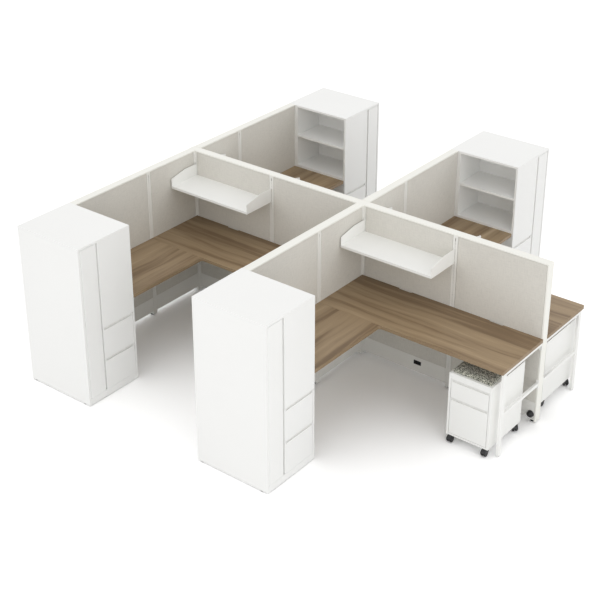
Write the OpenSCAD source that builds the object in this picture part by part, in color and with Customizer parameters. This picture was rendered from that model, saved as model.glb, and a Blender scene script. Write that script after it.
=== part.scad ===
// Cubicle workstation for four people: a panel spine crossed by two panel runs, with an
// L-shaped worksurface, a shelf and a storage tower in each place, and two rolling pedestals.
// Lengths are millimetres. X runs along the spine, Y along the cross runs, Z is up.
// The origin is on the floor, below the middle of the whole cluster.

/* [Layout] */
// Centre to centre distance of the two cross runs
run_pitch = 1760; // [1500:10:2100]
// Centre of the right cross run to the free end of the spine
spine_reach = 1650; // [1450:10:1900]
// Centre of a cross run to the spine post on its right
spine_bay = 870; // [750:10:950]
// Centre of the spine to the front towers
front_reach = 1410; // [1200:10:1700]
// Centre of the spine to the rear towers
back_reach = 1330; // [1200:10:1700]
// Centre of the spine to the post in the front runs
front_bay = 600; // [500:10:750]
// Centre of the spine to the post in the rear runs
back_bay = 550; // [450:10:700]

/* [Panels] */
// Height of the panels over the floor
panel_h = 1350; // [1250:10:1600]
// Thickness of a panel across its two faces
panel_t = 70; // [60:1:90]
// Thickness of one fabric tile
tile_t = 15; // [10:1:18]
// Radius of a tile's front edges
tile_edge_r = 4; // [2:0.5:6]
// Height of the top cap
cap_h = 11; // [10:1:30]
// Wall of the top cap
cap_wall = 3; // [2:0.5:4]
// Width of a post between two tiles
post_w = 42; // [36:1:60]
// Wall of the posts and frame tubes
tube_wall = 2.5; // [1.5:0.5:4]
// Height of a frame tube
rail_h = 40; // [30:1:60]
// Part of a corner post that shows beside the tiles
corner_strip = 18; // [15:1:40]
// Height of the base raceway's cover
raceway_h = 135; // [100:5:170]
// Gap under the base raceway
floor_gap = 45; // [30:1:60]
// Sheet thickness of a raceway cover
cover_t = 1.5; // [1:0.5:3]
// Thickness of the cover on the spine's free end
end_cover_t = 14; // [8:1:25]
// Width of the hanging slot in a post
slot_w = 5; // [3:0.5:8]
// Gap between a tile and the pieces round it
reveal = 2; // [1:0.5:4]

/* [Power outlets] */
// Width of an outlet
outlet_w = 68; // [50:1:80]
// Height of an outlet
outlet_h = 34; // [25:1:45]
// How far an outlet's rim stands out
outlet_rim = 2; // [1:0.5:4]
// Width of the rim round the outlet's cut-out
outlet_lip = 4; // [2:0.5:6]
// Depth of an outlet box
outlet_d = 20; // [12:1:28]
// Height of the outlet's centre over the floor
outlet_z = 130; // [110:1:150]
// Diameter of the round power inlet near the spine's free end
inlet_d = 56; // [40:1:66]
// How far the inlet's dome stands out
inlet_rise = 34; // [16:1:40]
// Height of the inlet's middle over the floor
inlet_z = 76; // [76:1:110]
// Side of one socket recess
socket_w = 22; // [16:1:26]
// Depth of a socket recess
socket_d = 9; // [5:1:12]

/* [Worksurfaces] */
// Height of the worksurface over the floor
desk_h = 740; // [700:5:800]
// Thickness of the worksurface
desk_t = 28; // [22:1:36]
// Depth of the long surface on the spine
main_depth = 570; // [500:10:700]
// Depth of the return on a cross run
return_depth = 565; // [480:10:570]
// How far the long surface passes the spine's free end
desk_overhang = 4; // [4:1:30]
// Gap between a worksurface and what stands beside it
desk_gap = 1; // [0.5:0.5:3]
// Corner radius of the worksurfaces
desk_corner_r = 6; // [3:1:12]
// Radius of the inner corner of the L
inner_corner_r = 24; // [10:1:40]
// Length of a cable scallop in the rear edge
scallop_l = 120; // [80:5:200]
// Depth of a cable scallop
scallop_d = 12; // [8:1:30]

/* [Brackets] */
// Length of a cantilever bracket
bracket_l = 420; // [300:10:460]
// Height of a cantilever bracket at the post
bracket_h = 110; // [80:5:140]
// Height of a cantilever bracket at its tip
bracket_tip_h = 20; // [12:1:40]
// Sheet thickness of a cantilever bracket
bracket_t = 3; // [2:0.5:5]
// Width of a bracket's top flange
bracket_flange = 30; // [20:1:40]
// Length of the plate that joins the two worksurfaces
join_plate_l = 110; // [80:5:140]
// Width of the plate that joins the two worksurfaces
join_plate_w = 70; // [50:5:100]

/* [End legs] */
// Depth of the end leg's front post
leg_w = 36; // [30:1:70]
// Thickness of the end leg
leg_t = 22; // [18:1:40]
// Setback of the front post from the worksurface's front edge
leg_setback = 28; // [20:1:80]
// Height of the middle of the lower rail
leg_rail_z = 352; // [250:1:450]
// Height of a leg rail
leg_rail_h = 25; // [18:1:40]
// Thickness of the flange on the panel
leg_flange_t = 4; // [3:0.5:8]
// Height of a flange on the panel
leg_flange_h = 70; // [50:5:100]

/* [Shelves] */
// Drop of a shelf's upper face below the panels' top
shelf_drop = 222; // [150:1:300]
// Depth of a shelf
shelf_depth = 310; // [250:5:380]
// Height of a shelf pan
shelf_pan_h = 20; // [14:1:30]
// Sheet thickness of a shelf pan
shelf_sheet = 1.5; // [1:0.5:3]
// Sheet thickness of a shelf's end bracket
shelf_end_t = 3; // [2:0.5:5]
// Height of an end bracket at its front, over the shelf
shelf_end_front = 66; // [40:1:80]
// Height of an end bracket at its back, over the shelf
shelf_end_back = 100; // [85:1:130]
// Part of an end bracket's depth with a level top
shelf_end_level = 140; // [80:5:200]
// Radius of an end bracket's front corners
shelf_end_r = 10; // [4:1:16]

/* [Towers] */
// Width of a tower across its front
tower_w = 526; // [480:2:620]
// Depth of a tower
tower_d = 650; // [600:5:750]
// Thickness of the tower's boards
board_t = 18; // [15:0.5:22]
// Thickness of the tower's back board
back_t = 12; // [6:1:18]
// Width of the wardrobe door and its side board
wardrobe_w = 180; // [150:2:240]
// Height of the plinth under the fronts
plinth_h = 62; // [50:1:90]
// Height of a file drawer's front
file_front_h = 269; // [240:1:280]
// Gap between two fronts
front_gap = 3; // [2:0.5:5]
// Height of a finger pull
pull_h = 18; // [12:1:24]
// Depth of a finger pull
pull_d = 11; // [8:0.5:13]
// Height of the open bookcase's floor over the worksurface
book_floor = 20; // [10:1:60]
// Place of the bookcase shelf's middle, as a share of the opening's height
book_shelf_share = 0.51; // [0.4:0.01:0.6]
// Diameter of the coat rod
rod_d = 20; // [16:1:26]
// Drop of the coat rod's middle below the shelf over it
rod_drop = 38; // [25:1:60]
// Gap between the shelf over the coat rod and the tower's top board
hat_shelf_gap = 46; // [40:1:100]

/* [Drawers] */
// Length of a drawer box
drawer_l = 500; // [400:10:560]
// Thickness of a drawer's sides
drawer_side_t = 12; // [8:0.5:15]
// Thickness of a drawer's bottom
drawer_floor_t = 6; // [4:0.5:10]
// Space for a runner beside a drawer
runner_space = 12.5; // [12:0.1:14]
// Height of a runner
runner_h = 36; // [30:1:46]
// Height of a file drawer's side
file_side_h = 190; // [150:5:220]

/* [Pedestals] */
// Width of a pedestal
ped_w = 354; // [320:1:400]
// Depth of a pedestal
ped_d = 470; // [440:5:560]
// Height of a pedestal case over its casters
ped_h = 530; // [500:1:560]
// How far a pedestal's front stands in front of the worksurface
ped_proud = 25; // [0:1:60]
// Distance of a pedestal from the end leg
ped_leg_gap = 38; // [20:1:120]
// Wall of a pedestal case
ped_wall = 17; // [12:1:20]
// Height of the rail over the box drawer
ped_rail_h = 48; // [30:1:60]
// Height of the box drawer's front
box_front_h = 152; // [130:1:170]
// Height of the box drawer's side
box_side_h = 80; // [60:1:110]
// Length of a pedestal drawer box
ped_drawer_l = 400; // [300:10:420]
// Thickness of the seat cushion at its edge
cushion_edge = 20; // [14:1:30]
// Rise of the cushion's crown
cushion_crown = 14; // [6:1:24]
// How far the cushion's sides draw in between its corners
cushion_draw = 5; // [2:0.5:10]

/* [Casters] */
// Height from the floor to the pedestal case
caster_h = 64; // [60:1:75]
// Radius of a caster wheel
wheel_r = 27; // [20:0.5:28]
// Width of one wheel of the pair
wheel_w = 13; // [8:0.5:14]
// Radius of the axle
axle_r = 4; // [3:0.5:5]
// Running clearance of the axle in its bore
axle_fit = 0.06; // [0.03:0.01:0.1]
// Distance of the wheel behind the swivel
caster_trail = 18; // [10:1:22]
// Thickness of the web between the wheels
web_t = 10; // [8:0.5:14]
// Distance of a swivel from the pedestal's sides
caster_inset = 32; // [28:1:50]

/* [Feet] */
// Diameter of a panel glide
glide_d = 44; // [30:1:60]
// Height of a panel glide
glide_h = 15; // [10:1:25]
// Height of the tower glides
tower_glide_h = 6; // [4:0.5:12]
// Height of the glides under the end legs
leg_glide_h = 5; // [4:0.5:12]

/* [Hidden] */

// Clearance between two pieces that are seated on each other
seat = 0.3;
// Overrun of a cut past the face that it opens
over = 1;
// Sides of the round pieces
round_fn = 48;

steel_white = "#F2F2F0";
fabric_pale = "#C9C6BC";
laminate_oak = "#8C765C";
tweed = "#8E9078";
plastic_black = "#1E1E1E";
steel_bare = "#B9BCBE";

// Places of the cluster's own edges, before it is centred on the origin
half_t = panel_t / 2;
left_edge = -run_pitch - half_t;
right_edge = spine_reach + desk_overhang;
front_edge = -front_reach - tower_w;
back_edge = back_reach + tower_w;
centre_x = (left_edge + right_edge) / 2;
centre_y = (front_edge + back_edge) / 2;

// Panels
corner_reach = half_t + corner_strip;
core_t = panel_t - 2 * tile_t;
post_half = post_w / 2;
post_recess = 1;
post_t = panel_t - 2 * post_recess;
cap_z = panel_h - cap_h;
raceway_top = floor_gap + raceway_h;
post_top = cap_z - seat;
tile_z0 = raceway_top + reveal;
tile_z1 = cap_z - reveal;
left_mid = spine_bay - run_pitch;
spine_bays = [
    [corner_reach - run_pitch, left_mid - post_half],
    [left_mid + post_half, -corner_reach],
    [corner_reach, spine_bay - post_half],
    [spine_bay + post_half, spine_reach - end_cover_t]
];
run_bays = [
    [-front_reach, -front_bay - post_half],
    [post_half - front_bay, -corner_reach],
    [corner_reach, back_bay - post_half],
    [back_bay + post_half, back_reach]
];
run_centres = [-run_pitch, 0];
rail_levels = [floor_gap, desk_h - desk_t - rail_h, post_top - rail_h];
rail_t = core_t - 2 * seat;
end_post_x = spine_reach - end_cover_t - post_half;
// A run's end glide stays clear of the tower beside it
end_glide = max(post_half, glide_d / 2 + reveal);

// Worksurfaces, as seen from the corner of a station
inner_corner_end = 75;
desk_start = half_t + desk_gap;
desk_under = desk_h - desk_t;
main_edge = half_t + main_depth;
return_edge = half_t + return_depth;
right_main_l = right_edge - desk_start;
left_main_l = run_pitch - 2 * desk_start;

// End legs
leg_x1 = spine_reach;
leg_x0 = leg_x1 - leg_t;
leg_y1 = main_edge - leg_setback;
leg_y0 = leg_y1 - leg_w;
leg_top = desk_under - seat;

// Shelves hang on the corner strip at one end and beside the spine post's slot at the other
shelf_z = panel_h - shelf_drop;
shelf_x0 = half_t + corner_strip / 2;
shelf_x1 = spine_bay - slot_w / 2;
shelf_l = shelf_x1 - shelf_x0;
shelf_y0 = half_t + seat;
shelf_y1 = shelf_y0 + shelf_depth;

// Towers: x from the back, u from the side that faces the spine
plinth_gap = 1;
tower_z0 = tower_glide_h;
partition_u = tower_w - wardrobe_w;
front_x0 = tower_d - board_t;
book_z = desk_h + book_floor;
tower_top_z = panel_h - board_t;
book_shelf_z = book_z + (tower_top_z - book_z) * book_shelf_share;
hat_shelf_z = tower_top_z - hat_shelf_gap - board_t;
rod_z = hat_shelf_z - rod_drop;
fronts_z0 = plinth_h + plinth_gap;
upper_z0 = fronts_z0 + file_front_h + front_gap;
fixed_z0 = upper_z0 + file_front_h + front_gap;
wide_u0 = board_t + front_gap;
wide_u1 = partition_u - board_t / 2 - front_gap / 2;
door_u0 = wide_u1 + front_gap;
door_u1 = tower_w - board_t - front_gap;
door_z1 = tower_top_z - front_gap;
door_pivot_u = door_u1 - board_t / 2;
door_pivot_x = front_x0 + board_t / 2;
pivot_r = 3;
pivot_l = 16;
book_wall_x = 84;
tower_foot_d = 30;
tower_foot_inset = 40;

// Power inlet: a dome on a collar, on the front raceway cover
inlet_steps = 12;
inlet_collar = 4;
inlet_x = spine_reach - end_cover_t - reveal - inlet_d / 2;

// Drawers
file_box_lift = 24;
file_runner_rise = 90;
box_runner_rise = 20;
runner_wall = 1.5;
runner_depth = 9;
runner_play = 0.5;
tower_opening_w = partition_u - 2 * board_t;

// Pedestals, seen from the front with x to the right and y towards the back
ped_x1 = leg_x0 - ped_leg_gap;
ped_x0 = ped_x1 - ped_w;
ped_y0 = main_edge + ped_proud;
ped_z0 = caster_h;
ped_top = caster_h + ped_h;
ped_inner_z1 = ped_top - ped_rail_h;
ped_box_z0 = ped_inner_z1 - front_gap - box_front_h;
ped_file_z0 = ped_z0 + ped_wall + front_gap;
ped_file_h = ped_box_z0 - front_gap - ped_file_z0;
ped_opening_w = ped_w - 2 * ped_wall;
box_lift = 14;
ped_back_t = 12;

// Casters
hood_gap = 2;
hood_t = 2;
hood_r = wheel_r + hood_gap + hood_t;
wheel_gap = 1;
wheel_shoulder = 3;
flange_r = 17;
flange_t = 4;
stem_r = 7;
web_r = 12;
hood_z = wheel_r + 3;

// Cushion
cushion_inset = 3;
cushion_sides = 56;
cushion_power = 0.24;
// Ring sizes and heights of the cushion, as shares of its half width and of its thickness
cushion_ring_shares = [[0.975, 0], [1, 0.3], [1.005, 0.6], [0.99, 0.9], [0.95, 1]];
cushion_top_shares = [0.86, 0.74, 0.6, 0.44, 0.26];
cushion_crown_power = 2.4;

module centred() { translate([-centre_x, -centre_y, 0]) children(); }

// A cross run in its own frame: local x along the run, local y across it
module on_run(rx) { translate([rx, 0, 0]) rotate([0, 0, 90]) children(); }

// One station: local x away from its run, local y away from the spine
module station(rx, side) {
    translate([rx, 0, 0]) mirror([0, side < 0 ? 1 : 0, 0]) children();
}

// A tower in its own frame: x from its back, y from the side that faces the spine
module tower_place(rx, side) {
    translate([rx - half_t, side < 0 ? -front_reach : back_reach, 0])
        mirror([0, side < 0 ? 1 : 0, 0]) children();
}

// A pedestal in its own frame: x from its left side, y from its front to its back
module ped_place(side) {
    translate([ped_x0, side < 0 ? -ped_y0 : ped_y0, 0]) mirror([0, side > 0 ? 1 : 0, 0]) children();
}

// Points of an arc, from one angle to another
function arc(cx, cy, r, a0, a1, n = 6) =
    [for (i = [0:n]) [cx + r * cos(a0 + (a1 - a0) * i / n), cy + r * sin(a0 + (a1 - a0) * i / n)]];

// Points of a closed outline whose corners are rounded, each with its own radius
function unit(v) = v / norm(v);
function rounded(pts, radii, n = 6) = [for (i = [0:len(pts) - 1])
    let (p = pts[i], a = unit(pts[(i + len(pts) - 1) % len(pts)] - p),
        b = unit(pts[(i + 1) % len(pts)] - p), half = acos(a * b) / 2, r = radii[i],
        c = p + unit(a + b) * r / sin(half), reach = r / tan(half))
    each r == 0 ? [p] : [for (k = [0:n]) c + r * unit(p - c + reach * (a * (n - k) + b * k) / n)]];

// A bar of length l along x with the outline pts in y and z
module bar_x(l, pts) { rotate([90, 0, 90]) linear_extrude(height = l) polygon(pts); }

// A hollow tube of length l along x, with its outline's low corner at the origin
module tube_x(l, w, h) {
    difference() {
        cube([l, w, h]);
        translate([-over, tube_wall, tube_wall])
            cube([l + 2 * over, w - 2 * tube_wall, h - 2 * tube_wall]);
    }
}

// An upright hollow tube, w by d, from z0 to z1, centred on the origin and closed at its foot
module tube_z(w, d, z0, z1) {
    difference() {
        translate([-w / 2, -d / 2, z0]) cube([w, d, z1 - z0]);
        translate([tube_wall - w / 2, tube_wall - d / 2, z0 + tube_wall])
            cube([w - 2 * tube_wall, d - 2 * tube_wall, z1 - z0 - tube_wall + over]);
    }
}

// The same tube with a hanging slot down each of its two faces across y
module slotted_post() {
    z0 = raceway_top;
    z1 = post_top - rail_h / 2;
    difference() {
        tube_z(post_w, post_t, glide_h, post_top);
        for (side = [0, 1]) mirror([0, side, 0])
            translate([-slot_w / 2, post_t / 2 - tube_wall - over, z0])
                cube([slot_w, tube_wall + 2 * over, z1 - z0]);
    }
}

// Posts: a hollow T or cross at each junction, tubes between the bays and at the ends
module junction_outline(arms, inset) {
    w = post_t - 2 * inset;
    left = arms == 4 ? corner_reach : post_t / 2;
    translate([inset - left, -w / 2]) square([left + corner_reach - 2 * inset, w]);
    translate([-w / 2, inset - corner_reach]) square([w, 2 * (corner_reach - inset)]);
}
module corner_post(arms) {
    h = post_top - glide_h;
    translate([0, 0, glide_h]) difference() {
        linear_extrude(height = h) junction_outline(arms, 0);
        translate([0, 0, tube_wall]) linear_extrude(height = h) junction_outline(arms, tube_wall);
    }
}
module end_post() {
    tube_z(post_w - 2 * reveal, rail_t, glide_h, post_top);
}
module panel_posts() {
    color(steel_white) centred() {
        for (rx = run_centres) {
            translate([rx, 0, 0]) corner_post(rx < 0 ? 3 : 4);
            for (y = [-front_bay, back_bay])
                translate([rx, y, 0]) rotate([0, 0, 90]) slotted_post();
            for (y = [post_half - front_reach, back_reach - post_half])
                translate([rx, y, 0]) rotate([0, 0, 90]) end_post();
        }
        for (x = [left_mid, spine_bay]) translate([x, 0, 0]) slotted_post();
        translate([end_post_x, 0, 0]) end_post();
    }
}

// Frame tubes between the posts, three to a bay
module bay_rails(bay, low_trim, high_trim) {
    for (z = rail_levels)
        translate([bay[0] + seat + low_trim, -rail_t / 2, z])
            tube_x(bay[1] - bay[0] - 2 * seat - low_trim - high_trim, rail_t, rail_h);
}
module panel_rails() {
    color(steel_white) centred() {
        for (i = [0:3]) bay_rails(spine_bays[i], 0, i == 3 ? post_w : 0);
        for (rx = run_centres) on_run(rx)
            for (i = [0:3]) bay_rails(run_bays[i], i == 0 ? post_w : 0, i == 3 ? post_w : 0);
    }
}

// Top cap: a channel with rounded shoulders, closed at the spine's left end
cap_r = 5;
function shoulders(z0) = concat(
    [[-half_t, z0]], arc(cap_r - half_t, panel_h - cap_r, cap_r, 180, 90),
    arc(half_t - cap_r, panel_h - cap_r, cap_r, 90, 0), [[half_t, z0]]
);
cap_pts = concat(shoulders(cap_z),
    [[half_t - cap_wall, cap_z], [half_t - cap_wall, panel_h - cap_wall]],
    [[cap_wall - half_t, panel_h - cap_wall], [cap_wall - half_t, cap_z]]
);
module panel_top_caps() {
    color(steel_white) centred() {
        translate([left_edge, 0, 0]) {
            bar_x(spine_reach - end_cover_t - left_edge, cap_pts);
            bar_x(cap_wall, shoulders(cap_z));
        }
        for (rx = run_centres) on_run(rx) {
            translate([-front_reach + seat, 0, 0]) bar_x(front_reach - half_t - 2 * seat, cap_pts);
            translate([half_t + seat, 0, 0]) bar_x(back_reach - half_t - 2 * seat, cap_pts);
        }
    }
}

// Raceway cover: a folded sheet, open behind
cover_y = half_t - post_recess;
cover_z0 = floor_gap;
cover_back = rail_t / 2 + seat;
cover_pts = [
    [cover_back, cover_z0], [cover_y, cover_z0], [cover_y, raceway_top],
    [cover_back, raceway_top], [cover_back, raceway_top - cover_t],
    [cover_y - cover_t, raceway_top - cover_t], [cover_y - cover_t, cover_z0 + cover_t],
    [cover_back, cover_z0 + cover_t]
];
module bay_cover(bay, outlet) {
    l = bay[1] - bay[0] - 2 * reveal;
    cut_w = outlet_w - 2 * outlet_lip + 2 * seat;
    cut_h = outlet_h - 2 * outlet_lip + 2 * seat;
    difference() {
        translate([bay[0] + reveal, 0, 0]) bar_x(l, cover_pts);
        if (outlet)
            translate([outlet_x(bay) - cut_w / 2, cover_y - cover_t - over, outlet_z - cut_h / 2])
                cube([cut_w, cover_t + 2 * over, cut_h]);
    }
}
// An outlet sits two thirds along its bay
outlet_share = 0.67;
function outlet_x(bay) = bay[0] + (bay[1] - bay[0]) * outlet_share;
module raceway_covers() {
    color(steel_white) centred() {
        for (i = [0:3], side = [0, 1])
            mirror([0, side, 0]) bay_cover(spine_bays[i], has_outlet(i));
        for (rx = run_centres, i = [0:3], side = [0, 1])
            on_run(rx) mirror([0, side, 0]) bay_cover(run_bays[i], false);
    }
}
function has_outlet(i) = i == 0 || i == 2;

module outlet() {
    body_w = outlet_w - 2 * outlet_lip;
    body_h = outlet_h - 2 * outlet_lip;
    difference() {
        union() {
            translate([-outlet_w / 2, cover_y + seat, outlet_z - outlet_h / 2])
                cube([outlet_w, outlet_rim, outlet_h]);
            translate([-body_w / 2, cover_y - outlet_d, outlet_z - body_h / 2])
                cube([body_w, outlet_d + outlet_rim, body_h]);
        }
        for (s = [-1, 1])
            translate([s * body_w / 4 - socket_w / 2, cover_y + outlet_rim + seat - socket_d,
                    outlet_z - socket_w / 2])
                cube([socket_w, socket_d + over, socket_w]);
    }
}
// Power inlet: half of a long ball on a straight collar, turned about its own middle
module power_inlet() {
    r = inlet_d / 2;
    rise = inlet_rise - inlet_collar;
    dome = [for (i = [0:inlet_steps]) let (a = 90 * i / inlet_steps)
        [r * cos(a), inlet_collar + rise * sin(a)]];
    translate([inlet_x, -cover_y - seat, inlet_z]) rotate([90, 0, 0])
        rotate_extrude($fn = round_fn) polygon(concat([[0, 0], [r, 0]], dome));
}
module power_outlets() {
    color(plastic_black) centred() {
        for (i = [0:3], side = [0, 1])
            if (has_outlet(i)) mirror([0, side, 0]) translate([outlet_x(spine_bays[i]), 0, 0]) outlet();
        power_inlet();
    }
}

// Cover on the spine's free end: it closes the cap, with a rounded top corner and rounded edges
module spine_end_cover() {
    t = end_cover_t - seat;
    r = tile_edge_r;
    plan = concat([[0, -half_t]], arc(t - r, r - half_t, r, -90, 0), arc(t - r, half_t - r, r, 0, 90),
        [[0, half_t]]);
    side = concat([[0, 0], [t, 0]], arc(0, panel_h - glide_h - t, t, 0, 90, 8));
    color(steel_white) centred() intersection() {
        translate([spine_reach - t, 0, glide_h]) linear_extrude(height = panel_h - glide_h) polygon(plan);
        translate([spine_reach - t, half_t + over, glide_h]) rotate([90, 0, 0])
            linear_extrude(height = panel_t + 2 * over) polygon(side);
        translate([spine_reach - t, 0, 0]) bar_x(t, shoulders(glide_h));
    }
}

// Fabric tile of one bay and face, with rounded front edges
module tile(bay) {
    l = bay[1] - bay[0] - 2 * reveal;
    y0 = half_t - tile_t;
    y1 = half_t;
    r = tile_edge_r;
    pts = concat([[0, y0], [l, y0]], arc(l - r, y1 - r, r, 0, 90, 4),
        arc(r, y1 - r, r, 90, 180, 4));
    translate([bay[0] + reveal, 0, tile_z0]) linear_extrude(height = tile_z1 - tile_z0) polygon(pts);
}
module tiles(bays) {
    color(fabric_pale) for (b = bays, side = [0, 1]) mirror([0, side, 0]) tile(b);
}
module spine_tiles() { centred() tiles(spine_bays); }
module left_run_tiles() { centred() on_run(-run_pitch) tiles(run_bays); }
module right_run_tiles() { centred() on_run(0) tiles(run_bays); }

// Glides: discs under the posts, towers and end legs
module glide(d, h) {
    rim = d / 2;
    edge = h / 4;
    rotate_extrude($fn = round_fn)
        polygon([[0, 0], [rim - edge, 0], [rim, edge], [rim, h - edge],
            [rim - edge, h - seat], [0, h - seat]]);
}
module levelling_glides() {
    color(plastic_black) centred() {
        for (rx = run_centres, y = [end_glide - front_reach, -front_bay, 0, back_bay,
                back_reach - end_glide])
            translate([rx, y, 0]) glide(glide_d, glide_h);
        for (x = [left_mid, spine_bay, end_post_x]) translate([x, 0, 0]) glide(glide_d, glide_h);
        for (rx = run_centres, side = [-1, 1]) tower_place(rx, side)
            for (x = [tower_foot_inset, tower_d - tower_foot_inset - board_t],
                    u = [tower_foot_d / 2, tower_w - tower_foot_d / 2])
                translate([x, u, 0]) glide(tower_foot_d, tower_glide_h);
        for (side = [-1, 1])
            translate([(leg_x0 + leg_x1) / 2, side * (leg_y0 + leg_y1) / 2, 0])
                glide(leg_t - reveal, leg_glide_h);
    }
}

// Worksurfaces: the long surface holds the corner, the return butts against it
module main_surface(l, bays) {
    r = desk_corner_r;
    y1 = main_edge - desk_start;
    translate([desk_start, desk_start, desk_under]) difference() {
        linear_extrude(height = desk_t)
            polygon(concat([[0, 0], [l, 0]], arc(l - r, y1 - r, r, 0, 90), [[0, y1]]));
        for (b = bays) scallop((b[0] + b[1]) / 2 - desk_start);
    }
}
module scallop(x) {
    r = scallop_d;
    half = scallop_l / 2;
    translate([x, 0, -over]) linear_extrude(height = desk_t + 2 * over)
        polygon(concat([[-half, -over], [half, -over]], arc(half - r, 0, r, 0, 90),
            arc(r - half, 0, r, 90, 180)));
}
module return_surface(reach) {
    y0 = main_edge + seat;
    y1 = reach - desk_gap;
    x1 = return_edge;
    r = inner_corner_r;
    translate([0, 0, desk_under]) linear_extrude(height = desk_t)
        polygon(concat([[desk_start, y0], [x1 + r * (1 - cos(inner_corner_end)), y0]],
            arc(x1 + r, y0 + r, r, 180 + inner_corner_end, 180),
            [[x1, y1], [desk_start, y1]]));
}
left_bays = [
    [corner_reach, spine_bay - post_half],
    [spine_bay + post_half, run_pitch - corner_reach]
];
right_bays = [spine_bays[2], spine_bays[3]];
module worksurface(rx, side) {
    color(laminate_oak) centred() station(rx, side) {
        main_surface(rx < 0 ? left_main_l : right_main_l, rx < 0 ? left_bays : right_bays);
        return_surface(side < 0 ? front_reach : back_reach);
    }
}
module front_left_worksurface() { worksurface(-run_pitch, -1); }
module front_right_worksurface() { worksurface(0, -1); }
module back_left_worksurface() { worksurface(-run_pitch, 1); }
module back_right_worksurface() { worksurface(0, 1); }

// Cantilever bracket: a plate on the post, a web that tapers to its tip and a flange over it
module cantilever() {
    y0 = half_t - post_recess + seat;
    top = desk_under - seat;
    translate([-bracket_t / 2, y0, 0]) rotate([90, 0, 90]) linear_extrude(height = bracket_t)
        polygon([[0, top], [bracket_l, top], [bracket_l, top - bracket_tip_h],
            [bracket_h / 2, top - bracket_h], [0, top - bracket_h]]);
    translate([-bracket_flange / 2, half_t + seat, top - bracket_t])
        cube([bracket_flange, bracket_l - post_recess, bracket_t]);
    translate([-bracket_flange / 2, y0, top - bracket_h]) cube([bracket_flange, bracket_t, bracket_h]);
}
module worksurface_brackets() {
    color(steel_white) centred() {
        for (x = [left_mid, spine_bay], side = [0, 1])
            mirror([0, side, 0]) translate([x, 0, 0]) cantilever();
        for (rx = run_centres, y = [-front_bay, back_bay])
            translate([rx, y + sign(y) * (post_half - bracket_flange / 2), 0])
                rotate([0, 0, -90]) cantilever();
        for (rx = run_centres, side = [-1, 1]) station(rx, side)
            translate([return_edge - join_plate_l - bracket_flange / 2, main_edge - join_plate_w / 2,
                    desk_under - seat - bracket_t])
                cube([join_plate_l, join_plate_w, bracket_t]);
    }
}

// End leg: front post, rail under the worksurface, lower rail, and flanges on the panel
module end_leg() {
    rail_y0 = half_t + 2 * seat + leg_flange_t;
    translate([leg_x0, leg_y0, leg_glide_h]) cube([leg_t, leg_w, leg_top - leg_glide_h]);
    for (z = [leg_top - leg_rail_h, leg_rail_z - leg_rail_h / 2])
        translate([leg_x0, rail_y0, z]) cube([leg_t, leg_y0 - seat - rail_y0, leg_rail_h]);
    for (z = [leg_top - leg_flange_h, leg_rail_z - leg_flange_h / 2])
        translate([leg_x0, half_t + seat, z]) cube([leg_t, leg_flange_t, leg_flange_h]);
}
module end_legs() {
    color(steel_white) centred() for (side = [0, 1]) mirror([0, side, 0]) end_leg();
}

// Shelf: a folded pan between two end brackets
module shelf() {
    pan_l = shelf_l - 2 * shelf_end_t - 2 * seat;
    zb = shelf_z - shelf_pan_h;
    lip = 2 * shelf_pan_h / 3;
    s = shelf_sheet;
    pan = [[shelf_y0, zb], [shelf_y0 + lip, zb], [shelf_y0 + lip, zb + s], [shelf_y0 + s, zb + s],
        [shelf_y0 + s, shelf_z - s], [shelf_y1 - s, shelf_z - s], [shelf_y1 - s, zb + s],
        [shelf_y1 - lip, zb + s], [shelf_y1 - lip, zb], [shelf_y1, zb], [shelf_y1, shelf_z],
        [shelf_y0, shelf_z]];
    translate([shelf_x0 + shelf_end_t + seat, 0, 0]) bar_x(pan_l, pan);
    hook_y = post_t / 2 + seat;
    top = shelf_z + shelf_end_back;
    side = [[hook_y, zb], [shelf_y1, zb], [shelf_y1, shelf_z + shelf_end_front],
        [shelf_y0 + shelf_end_level, top], [hook_y, top]];
    for (x = [shelf_x0, shelf_x1 - shelf_end_t]) translate([x, 0, 0])
        bar_x(shelf_end_t, rounded(side, [0, shelf_end_r / 2, shelf_end_r, 2 * shelf_end_r, 0]));
}
module shelves(side) {
    color(steel_white) centred() for (rx = run_centres) station(rx, side) shelf();
}
module front_shelves() { shelves(-1); }
module back_shelves() { shelves(1); }

// Tower case: boards round an open bookcase, a wardrobe and two drawers
module board(x0, x1, u0, u1, z0, z1) {
    translate([x0 + seat / 2, u0 + seat / 2, z0 + seat / 2])
        cube([x1 - x0 - seat, u1 - u0 - seat, z1 - z0 - seat]);
}
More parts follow.
